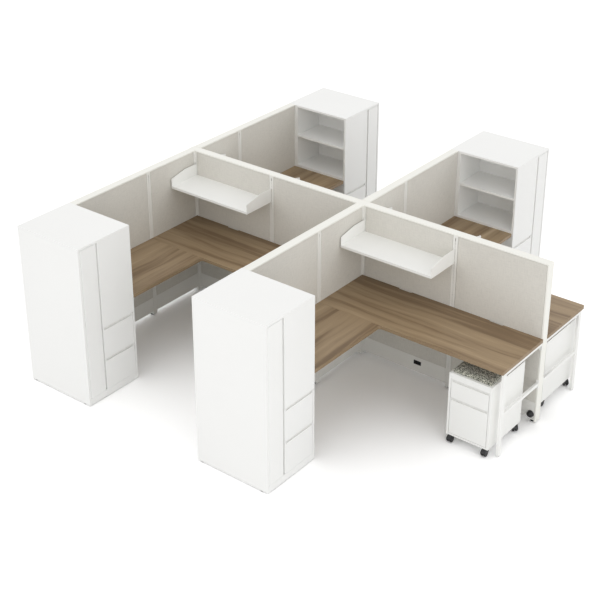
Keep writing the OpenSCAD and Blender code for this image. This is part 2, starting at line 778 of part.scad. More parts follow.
// The side board under the bookcase is notched behind the fixed front
module notched_side() {
    x0 = back_t + seat / 2;
    x1 = tower_d - seat / 2;
    notch_x = front_x0 - seat / 2;
    notch_z = fixed_z0 - front_gap;
    z0 = tower_z0 + seat / 2;
    z1 = book_z - board_t - seat / 2;
    translate([0, board_t - seat / 2, 0]) rotate([90, 0, 0])
        linear_extrude(height = board_t - seat)
            polygon([[x0, z0], [x1, z0], [x1, notch_z], [notch_x, notch_z], [notch_x, z1], [x0, z1]]);
}
module door_pivots() {
    for (z = [plinth_h + seat / 2, tower_top_z - pivot_l])
        translate([door_pivot_x, door_pivot_u, z])
            cylinder(h = pivot_l - seat / 2, r = pivot_r, $fn = round_fn);
}
module tower_boards() {
    z0 = tower_z0;
    w = tower_w;
    p = partition_u;
    shelf_lo = book_shelf_z - board_t / 2;
    shelf_hi = book_shelf_z + board_t / 2;
    wall_x1 = book_wall_x + board_t;
    board(0, tower_d, 0, w, tower_top_z, panel_h);
    board(0, back_t, 0, w, z0, tower_top_z);
    board(back_t, tower_d, w - board_t, w, z0, tower_top_z);
    board(back_t, front_x0, p - board_t, p, plinth_h, tower_top_z);
    board(back_t, front_x0, board_t, w - board_t, plinth_h - board_t, plinth_h);
    board(front_x0, tower_d, board_t, w - board_t, z0, plinth_h);
    board(back_t, front_x0, 0, p - board_t, book_z - board_t, book_z);
    board(wall_x1, front_x0, 0, p - board_t, shelf_lo, shelf_hi);
    board(book_wall_x, wall_x1, 0, p - board_t, book_z, tower_top_z);
    board(back_t, book_wall_x, 0, board_t, book_z, tower_top_z);
    board(front_x0, tower_d, 0, wide_u1, fixed_z0, tower_top_z);
    board(back_t, front_x0 - board_t, p, w - board_t, hat_shelf_z, hat_shelf_z + board_t);
}
module tower_case(rx, side) {
    color(steel_white) centred() tower_place(rx, side) {
        tower_boards();
        notched_side();
        door_pivots();
    }
}
module front_left_tower_case() { tower_case(-run_pitch, -1); }
module front_right_tower_case() { tower_case(0, -1); }
module back_left_tower_case() { tower_case(-run_pitch, 1); }
module back_right_tower_case() { tower_case(0, 1); }

// Coat rods between the partition and the outer side board
module coat_rods() {
    rod_l = wardrobe_w - board_t - 2 * seat;
    color(steel_bare) centred() for (rx = run_centres, side = [-1, 1]) tower_place(rx, side)
        translate([tower_d / 2, partition_u + seat, rod_z]) rotate([-90, 0, 0])
            cylinder(h = rod_l, d = rod_d, $fn = round_fn);
}

// Wardrobe door: round at its pivots, with a finger pull down its free edge
module wardrobe_door(rx, side) {
    x0 = front_x0;
    x1 = tower_d;
    r = board_t / 2;
    pull_u = door_u0 + pull_h;
    pts = concat([[x0, door_u0], [x1 - pull_d, door_u0], [x1 - pull_d, pull_u + pull_d / 2], [x1, pull_u]],
        arc(door_pivot_x, door_pivot_u, r, 0, 180, 12));
    color(steel_white) centred() tower_place(rx, side) difference() {
        translate([0, 0, fronts_z0]) linear_extrude(height = door_z1 - fronts_z0) polygon(pts);
        for (z = [fronts_z0 - over, door_z1 - pivot_l])
            translate([door_pivot_x, door_pivot_u, z])
                cylinder(h = pivot_l + over, r = pivot_r + axle_fit, $fn = round_fn);
    }
}
module front_left_wardrobe_door() { wardrobe_door(-run_pitch, -1); }
module front_right_wardrobe_door() { wardrobe_door(0, -1); }
module back_left_wardrobe_door() { wardrobe_door(-run_pitch, 1); }
module back_right_wardrobe_door() { wardrobe_door(0, 1); }

// A drawer in its own frame: x outwards from the back of its front, y across, z up
// A front with a finger pull sunk into its top edge
module drawer_front(w, h, t) {
    translate([0, w, 0]) rotate([90, 0, 0]) linear_extrude(height = w)
        polygon([[0, 0], [t, 0], [t, h - pull_h], [t - pull_d, h - pull_h - pull_d / 2],
            [t - pull_d, h], [0, h]]);
}
module drawer_box(opening, l, side_h, lift) {
    y0 = runner_space - front_gap;
    w = opening - 2 * runner_space;
    t = drawer_side_t;
    for (y = [y0, y0 + w - t]) translate([-l, y, lift]) cube([l - seat, t, side_h]);
    translate([-l, y0 + t + seat, lift]) cube([t, w - 2 * t - 2 * seat, side_h]);
    translate([t + seat - l, y0 + t + seat, lift + drawer_floor_t])
        cube([l - t - 3 * seat, w - 2 * t - 2 * seat, drawer_floor_t]);
}
// Both runners of an opening: the outer channels or the bars that slide in them
module runner_sides(opening) {
    translate([0, -front_gap, 0]) {
        children();
        translate([0, opening, 0]) mirror([0, 1, 0]) children();
    }
}
module runner_bars(opening, l, z) {
    y0 = seat + runner_wall + runner_play;
    runner_sides(opening) translate([-l, y0, z + runner_wall + runner_play])
        cube([l - seat, runner_space - seat - y0, runner_h - 2 * (runner_wall + runner_play)]);
}
module runner_channels(opening, l, z) {
    w = runner_wall;
    c = runner_depth;
    h = runner_h;
    runner_sides(opening) translate([-l, seat, z]) bar_x(l - 2 * front_gap,
        [[0, 0], [c, 0], [c, w], [w, w], [w, h - w], [c, h - w], [c, h], [0, h]]);
}
module drawer(front_w, front_h, front_t, opening, l, side_h, lift, rise) {
    drawer_front(front_w, front_h, front_t);
    drawer_box(opening, l, side_h, lift);
    runner_bars(opening, l, lift + rise);
}
module tower_drawer_place(rx, side, z) {
    tower_place(rx, side) translate([front_x0 + seat, wide_u0, z]) children();
}
module tower_drawer(rx, side, z) {
    color(steel_white) centred() tower_drawer_place(rx, side, z)
        drawer(wide_u1 - wide_u0, file_front_h, board_t - seat, tower_opening_w, drawer_l,
            file_side_h, file_box_lift, file_runner_rise);
}
module front_left_upper_drawer() { tower_drawer(-run_pitch, -1, upper_z0); }
module front_left_lower_drawer() { tower_drawer(-run_pitch, -1, fronts_z0); }
module front_right_upper_drawer() { tower_drawer(0, -1, upper_z0); }
module front_right_lower_drawer() { tower_drawer(0, -1, fronts_z0); }
module back_left_upper_drawer() { tower_drawer(-run_pitch, 1, upper_z0); }
module back_left_lower_drawer() { tower_drawer(-run_pitch, 1, fronts_z0); }
module back_right_upper_drawer() { tower_drawer(0, 1, upper_z0); }
module back_right_lower_drawer() { tower_drawer(0, 1, fronts_z0); }

// Runner channels of the tower drawers
module drawer_runners() {
    color(steel_bare) centred()
        for (rx = run_centres, side = [-1, 1], z = [fronts_z0, upper_z0])
            tower_drawer_place(rx, side, z)
                runner_channels(tower_opening_w, drawer_l, file_box_lift + file_runner_rise);
}

// Pedestal case: five boards, a rail over the drawers and the runner channels
module ped_board(x0, x1, y0, y1, z0, z1) {
    translate([x0 + seat / 2, y0 + seat / 2, z0 + seat / 2])
        cube([x1 - x0 - seat, y1 - y0 - seat, z1 - z0 - seat]);
}
module ped_drawer_place(z) {
    translate([ped_wall + front_gap, ped_wall - seat, z]) rotate([0, 0, -90]) children();
}
module pedestal_case(side) {
    t = ped_wall;
    w = ped_w;
    d = ped_d;
    color(steel_white) centred() ped_place(side) {
        for (x = [0, w - t]) ped_board(x, x + t, 0, d, ped_z0, ped_top);
        ped_board(t, w - t, 0, d, ped_z0, ped_z0 + t);
        ped_board(t, w - t, 0, d, ped_top - t, ped_top);
        ped_board(t, w - t, 0, t, ped_inner_z1, ped_top - t);
        ped_board(t, w - t, d - ped_back_t, d, ped_z0 + t, ped_top - t);
        ped_drawer_place(ped_box_z0)
            runner_channels(ped_opening_w, ped_drawer_l, box_lift + box_runner_rise);
        ped_drawer_place(ped_file_z0)
            runner_channels(ped_opening_w, ped_drawer_l, file_box_lift + file_runner_rise);
    }
}
module box_drawer(side) {
    color(steel_white) centred() ped_place(side) ped_drawer_place(ped_box_z0)
        drawer(ped_opening_w - 2 * front_gap, box_front_h, ped_wall - seat, ped_opening_w,
            ped_drawer_l, box_side_h, box_lift, box_runner_rise);
}
module file_drawer(side) {
    color(steel_white) centred() ped_place(side) ped_drawer_place(ped_file_z0)
        drawer(ped_opening_w - 2 * front_gap, ped_file_h, ped_wall - seat, ped_opening_w,
            ped_drawer_l, file_side_h, file_box_lift, file_runner_rise);
}
module front_pedestal_case() { pedestal_case(-1); }
module back_pedestal_case() { pedestal_case(1); }
module front_pedestal_box_drawer() { box_drawer(-1); }
module back_pedestal_box_drawer() { box_drawer(1); }
module front_pedestal_file_drawer() { file_drawer(-1); }
module back_pedestal_file_drawer() { file_drawer(1); }

// Cushion: rings of one rounded outline, with a crown and sides that draw in
function signed_power(v, p) = sign(v) * pow(abs(v), p);
function cushion_ring(share, z, draw) = [for (i = [0:cushion_sides - 1])
    let (a = 360 * i / cushion_sides, pull = draw * pow(cos(2 * a), 2))
    [(ped_w / 2 - cushion_inset - pull) * share * signed_power(cos(a), cushion_power),
     (ped_d / 2 - cushion_inset - pull) * share * signed_power(sin(a), cushion_power), z]];
function crown_at(share) = cushion_crown * (1 - pow(share, cushion_crown_power));
function cushion_points() = concat(
    [[0, 0, 0]],
    [for (s = cushion_ring_shares) each cushion_ring(s[0], s[1] * cushion_edge, cushion_draw)],
    [for (s = cushion_top_shares) each cushion_ring(s, cushion_edge + crown_at(s), cushion_draw * s)],
    [[0, 0, cushion_edge + cushion_crown]]
);
module cushion_body() {
    n = cushion_sides;
    rings = len(cushion_ring_shares) + len(cushion_top_shares);
    last = rings * n + 1;
    polyhedron(points = cushion_points(), faces = concat(
        [for (i = [0:n - 1]) [0, 1 + i, 1 + (i + 1) % n]],
        [for (k = [0:rings - 2], i = [0:n - 1])
            let (a = 1 + k * n + i, b = 1 + k * n + (i + 1) % n) each [[a, a + n, b], [b, a + n, b + n]]],
        [for (i = [0:n - 1]) [last, last - n + (i + 1) % n, last - n + i]]
    ));
}
module pedestal_cushion(side) {
    color(tweed) centred() ped_place(side)
        translate([ped_w / 2, ped_d / 2, ped_top + seat]) cushion_body();
}
module front_pedestal_cushion() { pedestal_cushion(-1); }
module back_pedestal_cushion() { pedestal_cushion(1); }

// Casters: a hooded yoke that swivels, and a pair of wheels on one axle
caster_places = [
    [caster_inset, caster_inset], [ped_w - caster_inset, caster_inset],
    [caster_inset, ped_d - caster_inset], [ped_w - caster_inset, ped_d - caster_inset]
];
// Turn of each wheel pair about its swivel; at 180 the wheels trail towards the pedestal's front
front_turns = [180, 180, 180, -135];
back_turns = [0, -45, 180, 180];
module caster_place(side, i) {
    turns = side < 0 ? front_turns : back_turns;
    ped_place(side) translate([caster_places[i][0], caster_places[i][1], 0])
        rotate([0, 0, turns[i]]) children();
}
// A disc across x, from x0 to x1, round the axle
module axle_disc(x0, x1, r) {
    translate([x0, caster_trail, wheel_r]) rotate([0, 90, 0])
        cylinder(h = x1 - x0, r = r, $fn = round_fn);
}
module cylinder_between(r, z0, z1) {
    translate([0, 0, z0]) cylinder(h = z1 - z0, r = r, $fn = round_fn);
}
module caster_yoke(side, i) {
    half_w = web_t / 2 + wheel_gap + wheel_w;
    color(plastic_black) centred() caster_place(side, i) difference() {
        union() {
            cylinder_between(flange_r, caster_h - seat - flange_t, caster_h - seat);
            cylinder_between(stem_r, wheel_r + hood_r / 2, caster_h - seat - flange_t / 2);
            axle_disc(-web_t / 2, web_t / 2, web_r);
            translate([-web_t / 2, 0, wheel_r]) cube([web_t, caster_trail, hood_r - hood_t / 2]);
            difference() {
                axle_disc(-half_w, half_w, hood_r);
                translate([-half_w - over, caster_trail - hood_r - over, hood_z - 2 * hood_r])
                    cube([2 * (half_w + over), 2 * (hood_r + over), 2 * hood_r]);
            }
        }
        axle_disc(-half_w - over, -web_t / 2, hood_r - hood_t);
        axle_disc(web_t / 2, half_w + over, hood_r - hood_t);
        axle_disc(-half_w - over, half_w + over, axle_r + axle_fit);
    }
}
module wheel() {
    s = wheel_shoulder;
    rotate_extrude($fn = round_fn) polygon(concat([[0, 0]],
        arc(wheel_r - s, s, s, -90, 0, 4), arc(wheel_r - s, wheel_w - s, s, 0, 90, 4), [[0, wheel_w]]));
}
module caster_wheels(side, i) {
    inner = web_t / 2 + wheel_gap;
    color(plastic_black) centred() caster_place(side, i) {
        for (turn = [0, 1]) mirror([turn, 0, 0])
            translate([inner, caster_trail, wheel_r]) rotate([0, 90, 0]) wheel();
        axle_disc(-inner - over, inner + over, axle_r);
    }
}
module front_caster_yoke_1() { caster_yoke(-1, 0); }
module front_caster_yoke_2() { caster_yoke(-1, 1); }
module front_caster_yoke_3() { caster_yoke(-1, 2); }
module front_caster_yoke_4() { caster_yoke(-1, 3); }
module front_caster_wheels_1() { caster_wheels(-1, 0); }
module front_caster_wheels_2() { caster_wheels(-1, 1); }
module front_caster_wheels_3() { caster_wheels(-1, 2); }
module front_caster_wheels_4() { caster_wheels(-1, 3); }
module back_caster_yoke_1() { caster_yoke(1, 0); }
module back_caster_yoke_2() { caster_yoke(1, 1); }
module back_caster_yoke_3() { caster_yoke(1, 2); }
module back_caster_yoke_4() { caster_yoke(1, 3); }
module back_caster_wheels_1() { caster_wheels(1, 0); }
module back_caster_wheels_2() { caster_wheels(1, 1); }
module back_caster_wheels_3() { caster_wheels(1, 2); }
module back_caster_wheels_4() { caster_wheels(1, 3); }

panel_posts();
panel_rails();
panel_top_caps();
raceway_covers();
spine_end_cover();
spine_tiles();
left_run_tiles();
right_run_tiles();
levelling_glides();
power_outlets();
front_left_worksurface();
front_right_worksurface();
back_left_worksurface();
back_right_worksurface();
worksurface_brackets();
end_legs();
front_shelves();
back_shelves();
coat_rods();
drawer_runners();
front_left_tower_case();
front_left_wardrobe_door();
front_left_upper_drawer();
front_left_lower_drawer();
front_right_tower_case();
front_right_wardrobe_door();
front_right_upper_drawer();
front_right_lower_drawer();
back_left_tower_case();
back_left_wardrobe_door();
back_left_upper_drawer();
back_left_lower_drawer();
back_right_tower_case();
back_right_wardrobe_door();
back_right_upper_drawer();
back_right_lower_drawer();
front_pedestal_case();
front_pedestal_cushion();
front_pedestal_box_drawer();
front_pedestal_file_drawer();
back_pedestal_case();
back_pedestal_cushion();
back_pedestal_box_drawer();
back_pedestal_file_drawer();
front_caster_yoke_1();
front_caster_wheels_1();
front_caster_yoke_2();
front_caster_wheels_2();
front_caster_yoke_3();
front_caster_wheels_3();
front_caster_yoke_4();
front_caster_wheels_4();
back_caster_yoke_1();
back_caster_wheels_1();
back_caster_yoke_2();
back_caster_wheels_2();
back_caster_yoke_3();
back_caster_wheels_3();
back_caster_yoke_4();
back_caster_wheels_4();
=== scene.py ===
"""Looks of a four-place cubicle workstation: coated steel, woven tiles, wood-grain laminate,
white melamine storage, tweed seat cushions and black casters, on a plain studio floor."""

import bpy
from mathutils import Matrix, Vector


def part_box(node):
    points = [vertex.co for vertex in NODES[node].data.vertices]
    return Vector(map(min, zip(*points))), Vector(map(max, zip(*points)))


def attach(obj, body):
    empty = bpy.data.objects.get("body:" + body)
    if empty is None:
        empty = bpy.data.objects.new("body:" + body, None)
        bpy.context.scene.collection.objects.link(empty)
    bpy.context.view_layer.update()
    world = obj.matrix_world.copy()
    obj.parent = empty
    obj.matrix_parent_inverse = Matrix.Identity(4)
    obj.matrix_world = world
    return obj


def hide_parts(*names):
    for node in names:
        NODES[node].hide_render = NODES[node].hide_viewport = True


bl_info = {
    "name": "Cubicle Workstation Looks",
    "version": (1, 0, 0),
    "blender": (4, 5, 0),
    "location": "View3D > Sidebar > Workstation",
    "description": "Dresses the four-place cubicle workstation and sets its studio",
    "category": "Object",
}

import math

import bmesh
import bpy
from bpy.props import FloatProperty, FloatVectorProperty, PointerProperty
from mathutils import Vector
from mathutils.bvhtree import BVHTree

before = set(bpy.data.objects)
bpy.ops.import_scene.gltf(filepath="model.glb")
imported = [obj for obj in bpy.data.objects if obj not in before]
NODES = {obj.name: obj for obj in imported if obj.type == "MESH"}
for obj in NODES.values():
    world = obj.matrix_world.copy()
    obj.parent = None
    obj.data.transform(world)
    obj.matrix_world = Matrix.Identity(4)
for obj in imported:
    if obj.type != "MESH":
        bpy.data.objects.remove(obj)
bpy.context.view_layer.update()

ROOT = "workstation"
PLACES = ("front_left", "front_right", "back_left", "back_right")
SIDES = ("front", "back")
CASTERS = (1, 2, 3, 4)
MM = 0.001

# Places read from the frame: the middle lines of the spine and of the two runs, and how far the
# panel's face and the long worksurfaces' front edge lie from the spine's middle line
SPINE_LOW, SPINE_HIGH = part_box("spine_tiles")
SPINE_Y = (SPINE_LOW.y + SPINE_HIGH.y) / 2
PANEL_FACE = SPINE_HIGH.y - SPINE_Y
MAIN_DEPTH = 0.570
MAIN_EDGE = PANEL_FACE + MAIN_DEPTH
RUN_BOXES = [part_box(name) for name in ("left_run_tiles", "right_run_tiles")]
RUN_XS = [(low.x + high.x) / 2 for low, high in RUN_BOXES]

# Mid posts: how far they stand from a run or from the spine, the plane of their faces, and the
# groove of hanging slots in each face
SPINE_BAY, FRONT_BAY, BACK_BAY = 0.870, 0.600, 0.550
POST_FACE = 34 * MM
SLOT_WIDTH, SLOT_WALL = 5 * MM, 2.5 * MM
SLOT_LOW, SLOT_HIGH = 0.180, 1.318

# Finger pull of a drawer, and how far it stops short of the front's two ends
PULL_HEIGHT, PULL_DEPTH = 18 * MM, 11 * MM
PULL_END_BY_DOOR, PULL_END_BY_SPINE, PULL_END_PEDESTAL = 13 * MM, 10 * MM, 6 * MM

# Grey strip behind a pull, painted shade for the recess, which stays below the front's top, and the
# whole ends beside a pull, which stay a skin's width inside the front
SHADE_STRIP_THICKNESS, SHADE_STRIP_DROP = 0.6 * MM, 2 * MM
END_SKIN, END_EDGE = 0.3 * MM, 0.8 * MM

# Rounding of sheet, plate, caps, pedestal shell and leg tube, the distance at which doubled points
# are joined, and the angle from which an edge counts as sharp
SHEET_EDGE, PLATE_EDGE, CAP_EDGE = 0.6 * MM, 0.8 * MM, 1.0 * MM
SHELL_EDGE, TUBE_EDGE = 1.2 * MM, 2.0 * MM
WELD_DISTANCE = 0.01 * MM
SHARP_ANGLE = math.radians(50)

# Cushion cover before it is filled: its inset, its corners, and the share of the height that is
# kept for the crown. Its base stays flat up to BASE_HEIGHT.
COVER_INSET, COVER_CORNER, CORNER_STEPS = 3 * MM, 16 * MM, 6
CROWN_SHARE, CROWN_POWER = 0.36, 2.4
BASE_HEIGHT = 2 * MM
CLOTH_FRAMES, CLOTH_QUALITY = 20, 5

# Welt: points along it, sides of its cord, and the height of the seam as a share of the cushion's
WELT_POINTS, WELT_SIDES, SEAM_SHARE = 220, 8, 0.5

# Colours of the small fittings
CASTER_BLACK, ABS_BLACK = "#232325", "#1B1B1C"
RUNNER_ZINC, ROD_CHROME = "#B9BCBE", "#D8DADC"

# Studio: the camera's film, its near and far limits, the lamps and the floor
FILM_WIDTH = 36.0
CLIP_NEAR, CLIP_FAR = 0.1, 200.0
FRONT_LAMP, RIGHT_LAMP, LAMP_SIZE = (-2.5, -10.5, 4.5), (10.0, -5.5, 4.0), 6.0
LAMP_TARGET = Vector((0, 0, 0.5))
FLOOR_RADIUS, FLOOR_SIDES, FLOOR_DROP = 60.0, 96, 0.5 * MM


def colour(code):
    """A colour given as an sRGB hex code, in the linear values that a shader takes."""
    parts = [int(code[i:i + 2], 16) / 255 for i in (1, 3, 5)]
    return tuple(c / 12.92 if c <= 0.04045 else ((c + 0.055) / 1.055) ** 2.4 for c in parts)


def shade(rgb, gain):
    """The same colour, lighter or darker, as an RGBA value."""
    return tuple(min(1.0, c * gain) for c in rgb[:3]) + (1.0,)


def add(tree, kind, inputs=None, **settings):
    """Adds a node, sets its settings, and fills or links its inputs."""
    node = tree.nodes.new(kind)
    for name, value in settings.items():
        setattr(node, name, value)
    for name, value in (inputs or {}).items():
        if isinstance(value, bpy.types.NodeSocket):
            tree.links.new(value, node.inputs[name])
        else:
            node.inputs[name].default_value = value
    return node


def ramp(tree, factor, stops):
    """A colour ramp through stops of (position, RGBA)."""
    node = add(tree, "ShaderNodeValToRGB", {"Fac": factor})
    elements = node.color_ramp.elements
    while len(elements) < len(stops):
        elements.new(1.0)
    for element, (position, rgba) in zip(elements, stops):
        element.position = position
        element.color = rgba
    return node.outputs["Color"]


def new_material(name, rough, ior=1.5, metallic=0.0, sheen=0.0):
    """A material with one Principled shader, whose uniform values stand on its own sockets."""
    material = bpy.data.materials.new(name)
    material.use_nodes = True
    tree = material.node_tree
    shader = tree.nodes["Principled BSDF"]
    shader.inputs["Roughness"].default_value = rough
    shader.inputs["IOR"].default_value = ior
    shader.inputs["Metallic"].default_value = metallic
    shader.inputs["Sheen Weight"].default_value = sheen
    place = add(tree, "ShaderNodeTexCoord").outputs["Object"]
    return material, tree, shader, place


def noise(tree, vector, size, detail=2.0, rough=0.5):
    """A noise whose features are about size metres across."""
    return add(tree, "ShaderNodeTexNoise", {
        "Vector": vector, "Scale": 1.0 / size, "Detail": detail, "Roughness": rough,
    }).outputs["Fac"]


def link_bump(tree, shader, height, distance, strength):
    """Gives a shader the bump of a height field."""
    bump = add(tree, "ShaderNodeBump", {
        "Height": height, "Distance": distance, "Strength": strength})
    tree.links.new(bump.outputs["Normal"], shader.inputs["Normal"])


def calc(tree, operation, *values):
    """One step of arithmetic between sockets and numbers."""
    return add(tree, "ShaderNodeMath", dict(enumerate(values)), operation=operation).outputs[0]


class PanelFinish(bpy.types.PropertyGroup):
    """Finish of the panel system."""
    frame_colour: FloatVectorProperty(
        name="Frame", description="Coating of posts, covers and rails", subtype="COLOR",
        default=colour("#F1F0EB"), min=0, max=1)
    cap_colour: FloatVectorProperty(
        name="Top cap", description="Coating of the top caps", subtype="COLOR",
        default=colour("#F6F5EE"), min=0, max=1)
    tile_colour: FloatVectorProperty(
        name="Tile fabric", description="Yarn of the fabric tiles", subtype="COLOR",
        default=colour("#DAD7CF"), min=0, max=1)
    yarn_pitch: FloatProperty(
        name="Yarn pitch", description="Distance between two yarns of the tile fabric",
        default=3.6 * MM, min=1 * MM, max=10 * MM, unit="LENGTH")
    tile_edge: FloatProperty(
        name="Tile edge", description="Rounding where the fabric wraps a tile's edge",
        default=3.0 * MM, min=0.5 * MM, max=5 * MM, unit="LENGTH")
    slot_pitch: FloatProperty(
        name="Slot pitch", description="Distance between two hanging slots of a post",
        default=25.4 * MM, min=10 * MM, max=50 * MM, unit="LENGTH")
    slot_web: FloatProperty(
        name="Slot web", description="Height of the web between two hanging slots",
        default=17 * MM, min=4 * MM, max=24 * MM, unit="LENGTH")


class DeskFinish(bpy.types.PropertyGroup):
    """Finish of the worksurfaces."""
    wood_colour: FloatVectorProperty(
        name="Wood", description="Middle tone of the printed wood grain", subtype="COLOR",
        default=colour("#9A8467"), min=0, max=1)
    dark_colour: FloatVectorProperty(
        name="Dark grain", description="Dark streaks of the wood grain", subtype="COLOR",
        default=colour("#7A644A"), min=0, max=1)
    light_colour: FloatVectorProperty(
        name="Light grain", description="Light streaks of the wood grain", subtype="COLOR",
        default=colour("#B7A183"), min=0, max=1)
    grain_width: FloatProperty(
        name="Grain width", description="Width of the broad streaks", default=42 * MM,
        min=5 * MM, max=100 * MM, unit="LENGTH")
    grain_length: FloatProperty(
        name="Grain length", description="Length of the broad streaks", default=0.9,
        min=0.1, max=3.0, unit="LENGTH")
    # Painted shade: a darker band along the rear edge, by the panel, stands for the shade that falls
    # there
    painted_shade_width: FloatProperty(
        name="Painted shade", description="Width of the dark painted shade along the rear edge",
        default=0.34, min=0.01, max=0.6, unit="LENGTH")
    painted_shade_tone: FloatProperty(
        name="Heartwood tone",
        description="How much darker the painted shade is at the rear edge",
        default=0.11, min=0, max=0.3)
    edge_round: FloatProperty(
        name="Edge", description="Rounding of the edge band", default=1.6 * MM,
        min=0.2 * MM, max=4 * MM, unit="LENGTH")


class StorageFinish(bpy.types.PropertyGroup):
    """Finish of towers, pedestals, shelves and legs."""
    board_colour: FloatVectorProperty(
        name="Board", description="White melamine face", subtype="COLOR",
        default=colour("#F7F7F5"), min=0, max=1)
    coat_colour: FloatVectorProperty(
        name="Steel coating", description="White coating of shelves, legs and brackets",
        subtype="COLOR", default=colour("#F7F7F4"), min=0, max=1)
    # Painted shade: the grey strip stands for the shade deep in a finger pull
    pull_shade_colour: FloatVectorProperty(
        name="Pull strip", description="Grey strip behind a finger pull", subtype="COLOR",
        default=colour("#ECECE9"), min=0, max=1)
    edge_round: FloatProperty(
        name="Edge", description="Rounding of the boards' edge band", default=1.0 * MM,
        min=0.2 * MM, max=3 * MM, unit="LENGTH")


class CushionFinish(bpy.types.PropertyGroup):
    """Finish and shape of the seat cushions."""
    dark_colour: FloatVectorProperty(
        name="Dark yarn", description="Dark yarn of the tweed", subtype="COLOR",
        default=colour("#4A4C3C"), min=0, max=1)
    light_colour: FloatVectorProperty(
        name="Light yarn", description="Light yarn of the tweed", subtype="COLOR",
        default=colour("#E2E1D0"), min=0, max=1)
    fleck: FloatProperty(
        name="Fleck", description="Size of a fleck of the tweed", default=8.5 * MM,
        min=2 * MM, max=20 * MM, unit="LENGTH")
    voxel: FloatProperty(
        name="Voxel", description="Mesh size for the simulated cloth", default=5.5 * MM,
        min=4 * MM, max=12 * MM, unit="LENGTH")
    pressure: FloatProperty(
        name="Pressure", description="Filling pressure of the cushion", default=4.0, min=0, max=20)
    swell: FloatProperty(
        name="Swell", description="Furthest that a point of the cover may move", default=9 * MM,
        min=0, max=30 * MM, unit="LENGTH")
    welt: FloatProperty(
        name="Welt", description="Radius of the piping round the seam", default=2.2 * MM,
        min=1 * MM, max=5 * MM, unit="LENGTH")


class StageSettings(bpy.types.PropertyGroup):
    """Camera, lamps and floor."""
    camera_place: FloatVectorProperty(
        name="Camera", description="Place of the camera", default=(5.4937, -7.6649, 5.7560),
        subtype="TRANSLATION", unit="LENGTH")
    azimuth: FloatProperty(
        name="Azimuth", description="Direction that the camera looks from",
        default=math.radians(38.112), subtype="ANGLE")
    elevation: FloatProperty(
        name="Elevation", description="Height of the camera's line of sight",
        default=math.radians(26.283), subtype="ANGLE")
    lens: FloatProperty(name="Lens", description="Focal length in mm on a 36 mm frame",
                        default=80.234, min=10, max=300)
    shift: FloatProperty(name="Shift", description="Vertical shift of the frame",
                         default=-0.11667, min=-0.5, max=0.5)
    sky: FloatProperty(name="Sky", description="Strength of the surrounding light",
                       default=0.94, min=0, max=5)
    front: FloatProperty(name="Front lamp", description="Power of the low lamp in front in watts",
                         default=55.0, min=0, max=10000)
    right: FloatProperty(name="Right lamp",
                         description="Power of the lamp at the free end in watts",
                         default=130.0, min=0, max=10000)
    floor_colour: FloatVectorProperty(
        name="Floor", description="Colour of the studio floor", subtype="COLOR",
        default=colour("#F4F4F4"), min=0, max=1)
    floor_gain: FloatProperty(
        name="Floor gain", description="How much more of its light the floor shows to the camera",
        default=0.35, min=0, max=1)


def powder_coat(name, rgb):
    """Powder coating on sheet steel: baked polyester, so a satin face with a fine orange peel."""
    peel_size, peel_depth = 2.2 * MM, 0.12 * MM
    batch_cloud, gloss_patch = 350 * MM, 60 * MM
    material, tree, shader, place = new_material(name, rough=0.42, ior=1.5)
    clouds = noise(tree, place, batch_cloud, detail=3)
    tone = ramp(tree, clouds, [(0.3, shade(rgb, 0.975)), (0.7, shade(rgb, 1.0))])
    tree.links.new(tone, shader.inputs["Base Color"])
    peel = noise(tree, place, peel_size, detail=2, rough=0.4)
    gloss = calc(tree, "MULTIPLY_ADD", noise(tree, place, gloss_patch, detail=2), 0.08, 0.38)
    tree.links.new(gloss, shader.inputs["Roughness"])
    link_bump(tree, shader, peel, peel_depth, 0.6)
    return material


def melamine(name, rgb):
    """White melamine on chipboard: pressed paper, so a dead flat face with a fine pebble."""
    pebble_size, pebble_depth = 1.6 * MM, 0.08 * MM
    batch_cloud, speck_size = 800 * MM, 4 * MM
    material, tree, shader, place = new_material(name, rough=0.36, ior=1.53)
    clouds = noise(tree, place, batch_cloud, detail=2)
    speck = calc(tree, "MULTIPLY", noise(tree, place, speck_size, detail=1), 0.05)
    base = ramp(tree, clouds, [(0.3, shade(rgb, 0.985)), (0.7, shade(rgb, 1.0))])
    mixed = add(tree, "ShaderNodeMix", {"Factor": speck, "A": base, "B": shade(rgb, 0.9)},
                data_type="RGBA")
    tree.links.new(mixed.outputs["Result"], shader.inputs["Base Color"])
    link_bump(tree, shader, noise(tree, place, pebble_size, detail=3, rough=0.6), pebble_depth, 0.5)
    return material


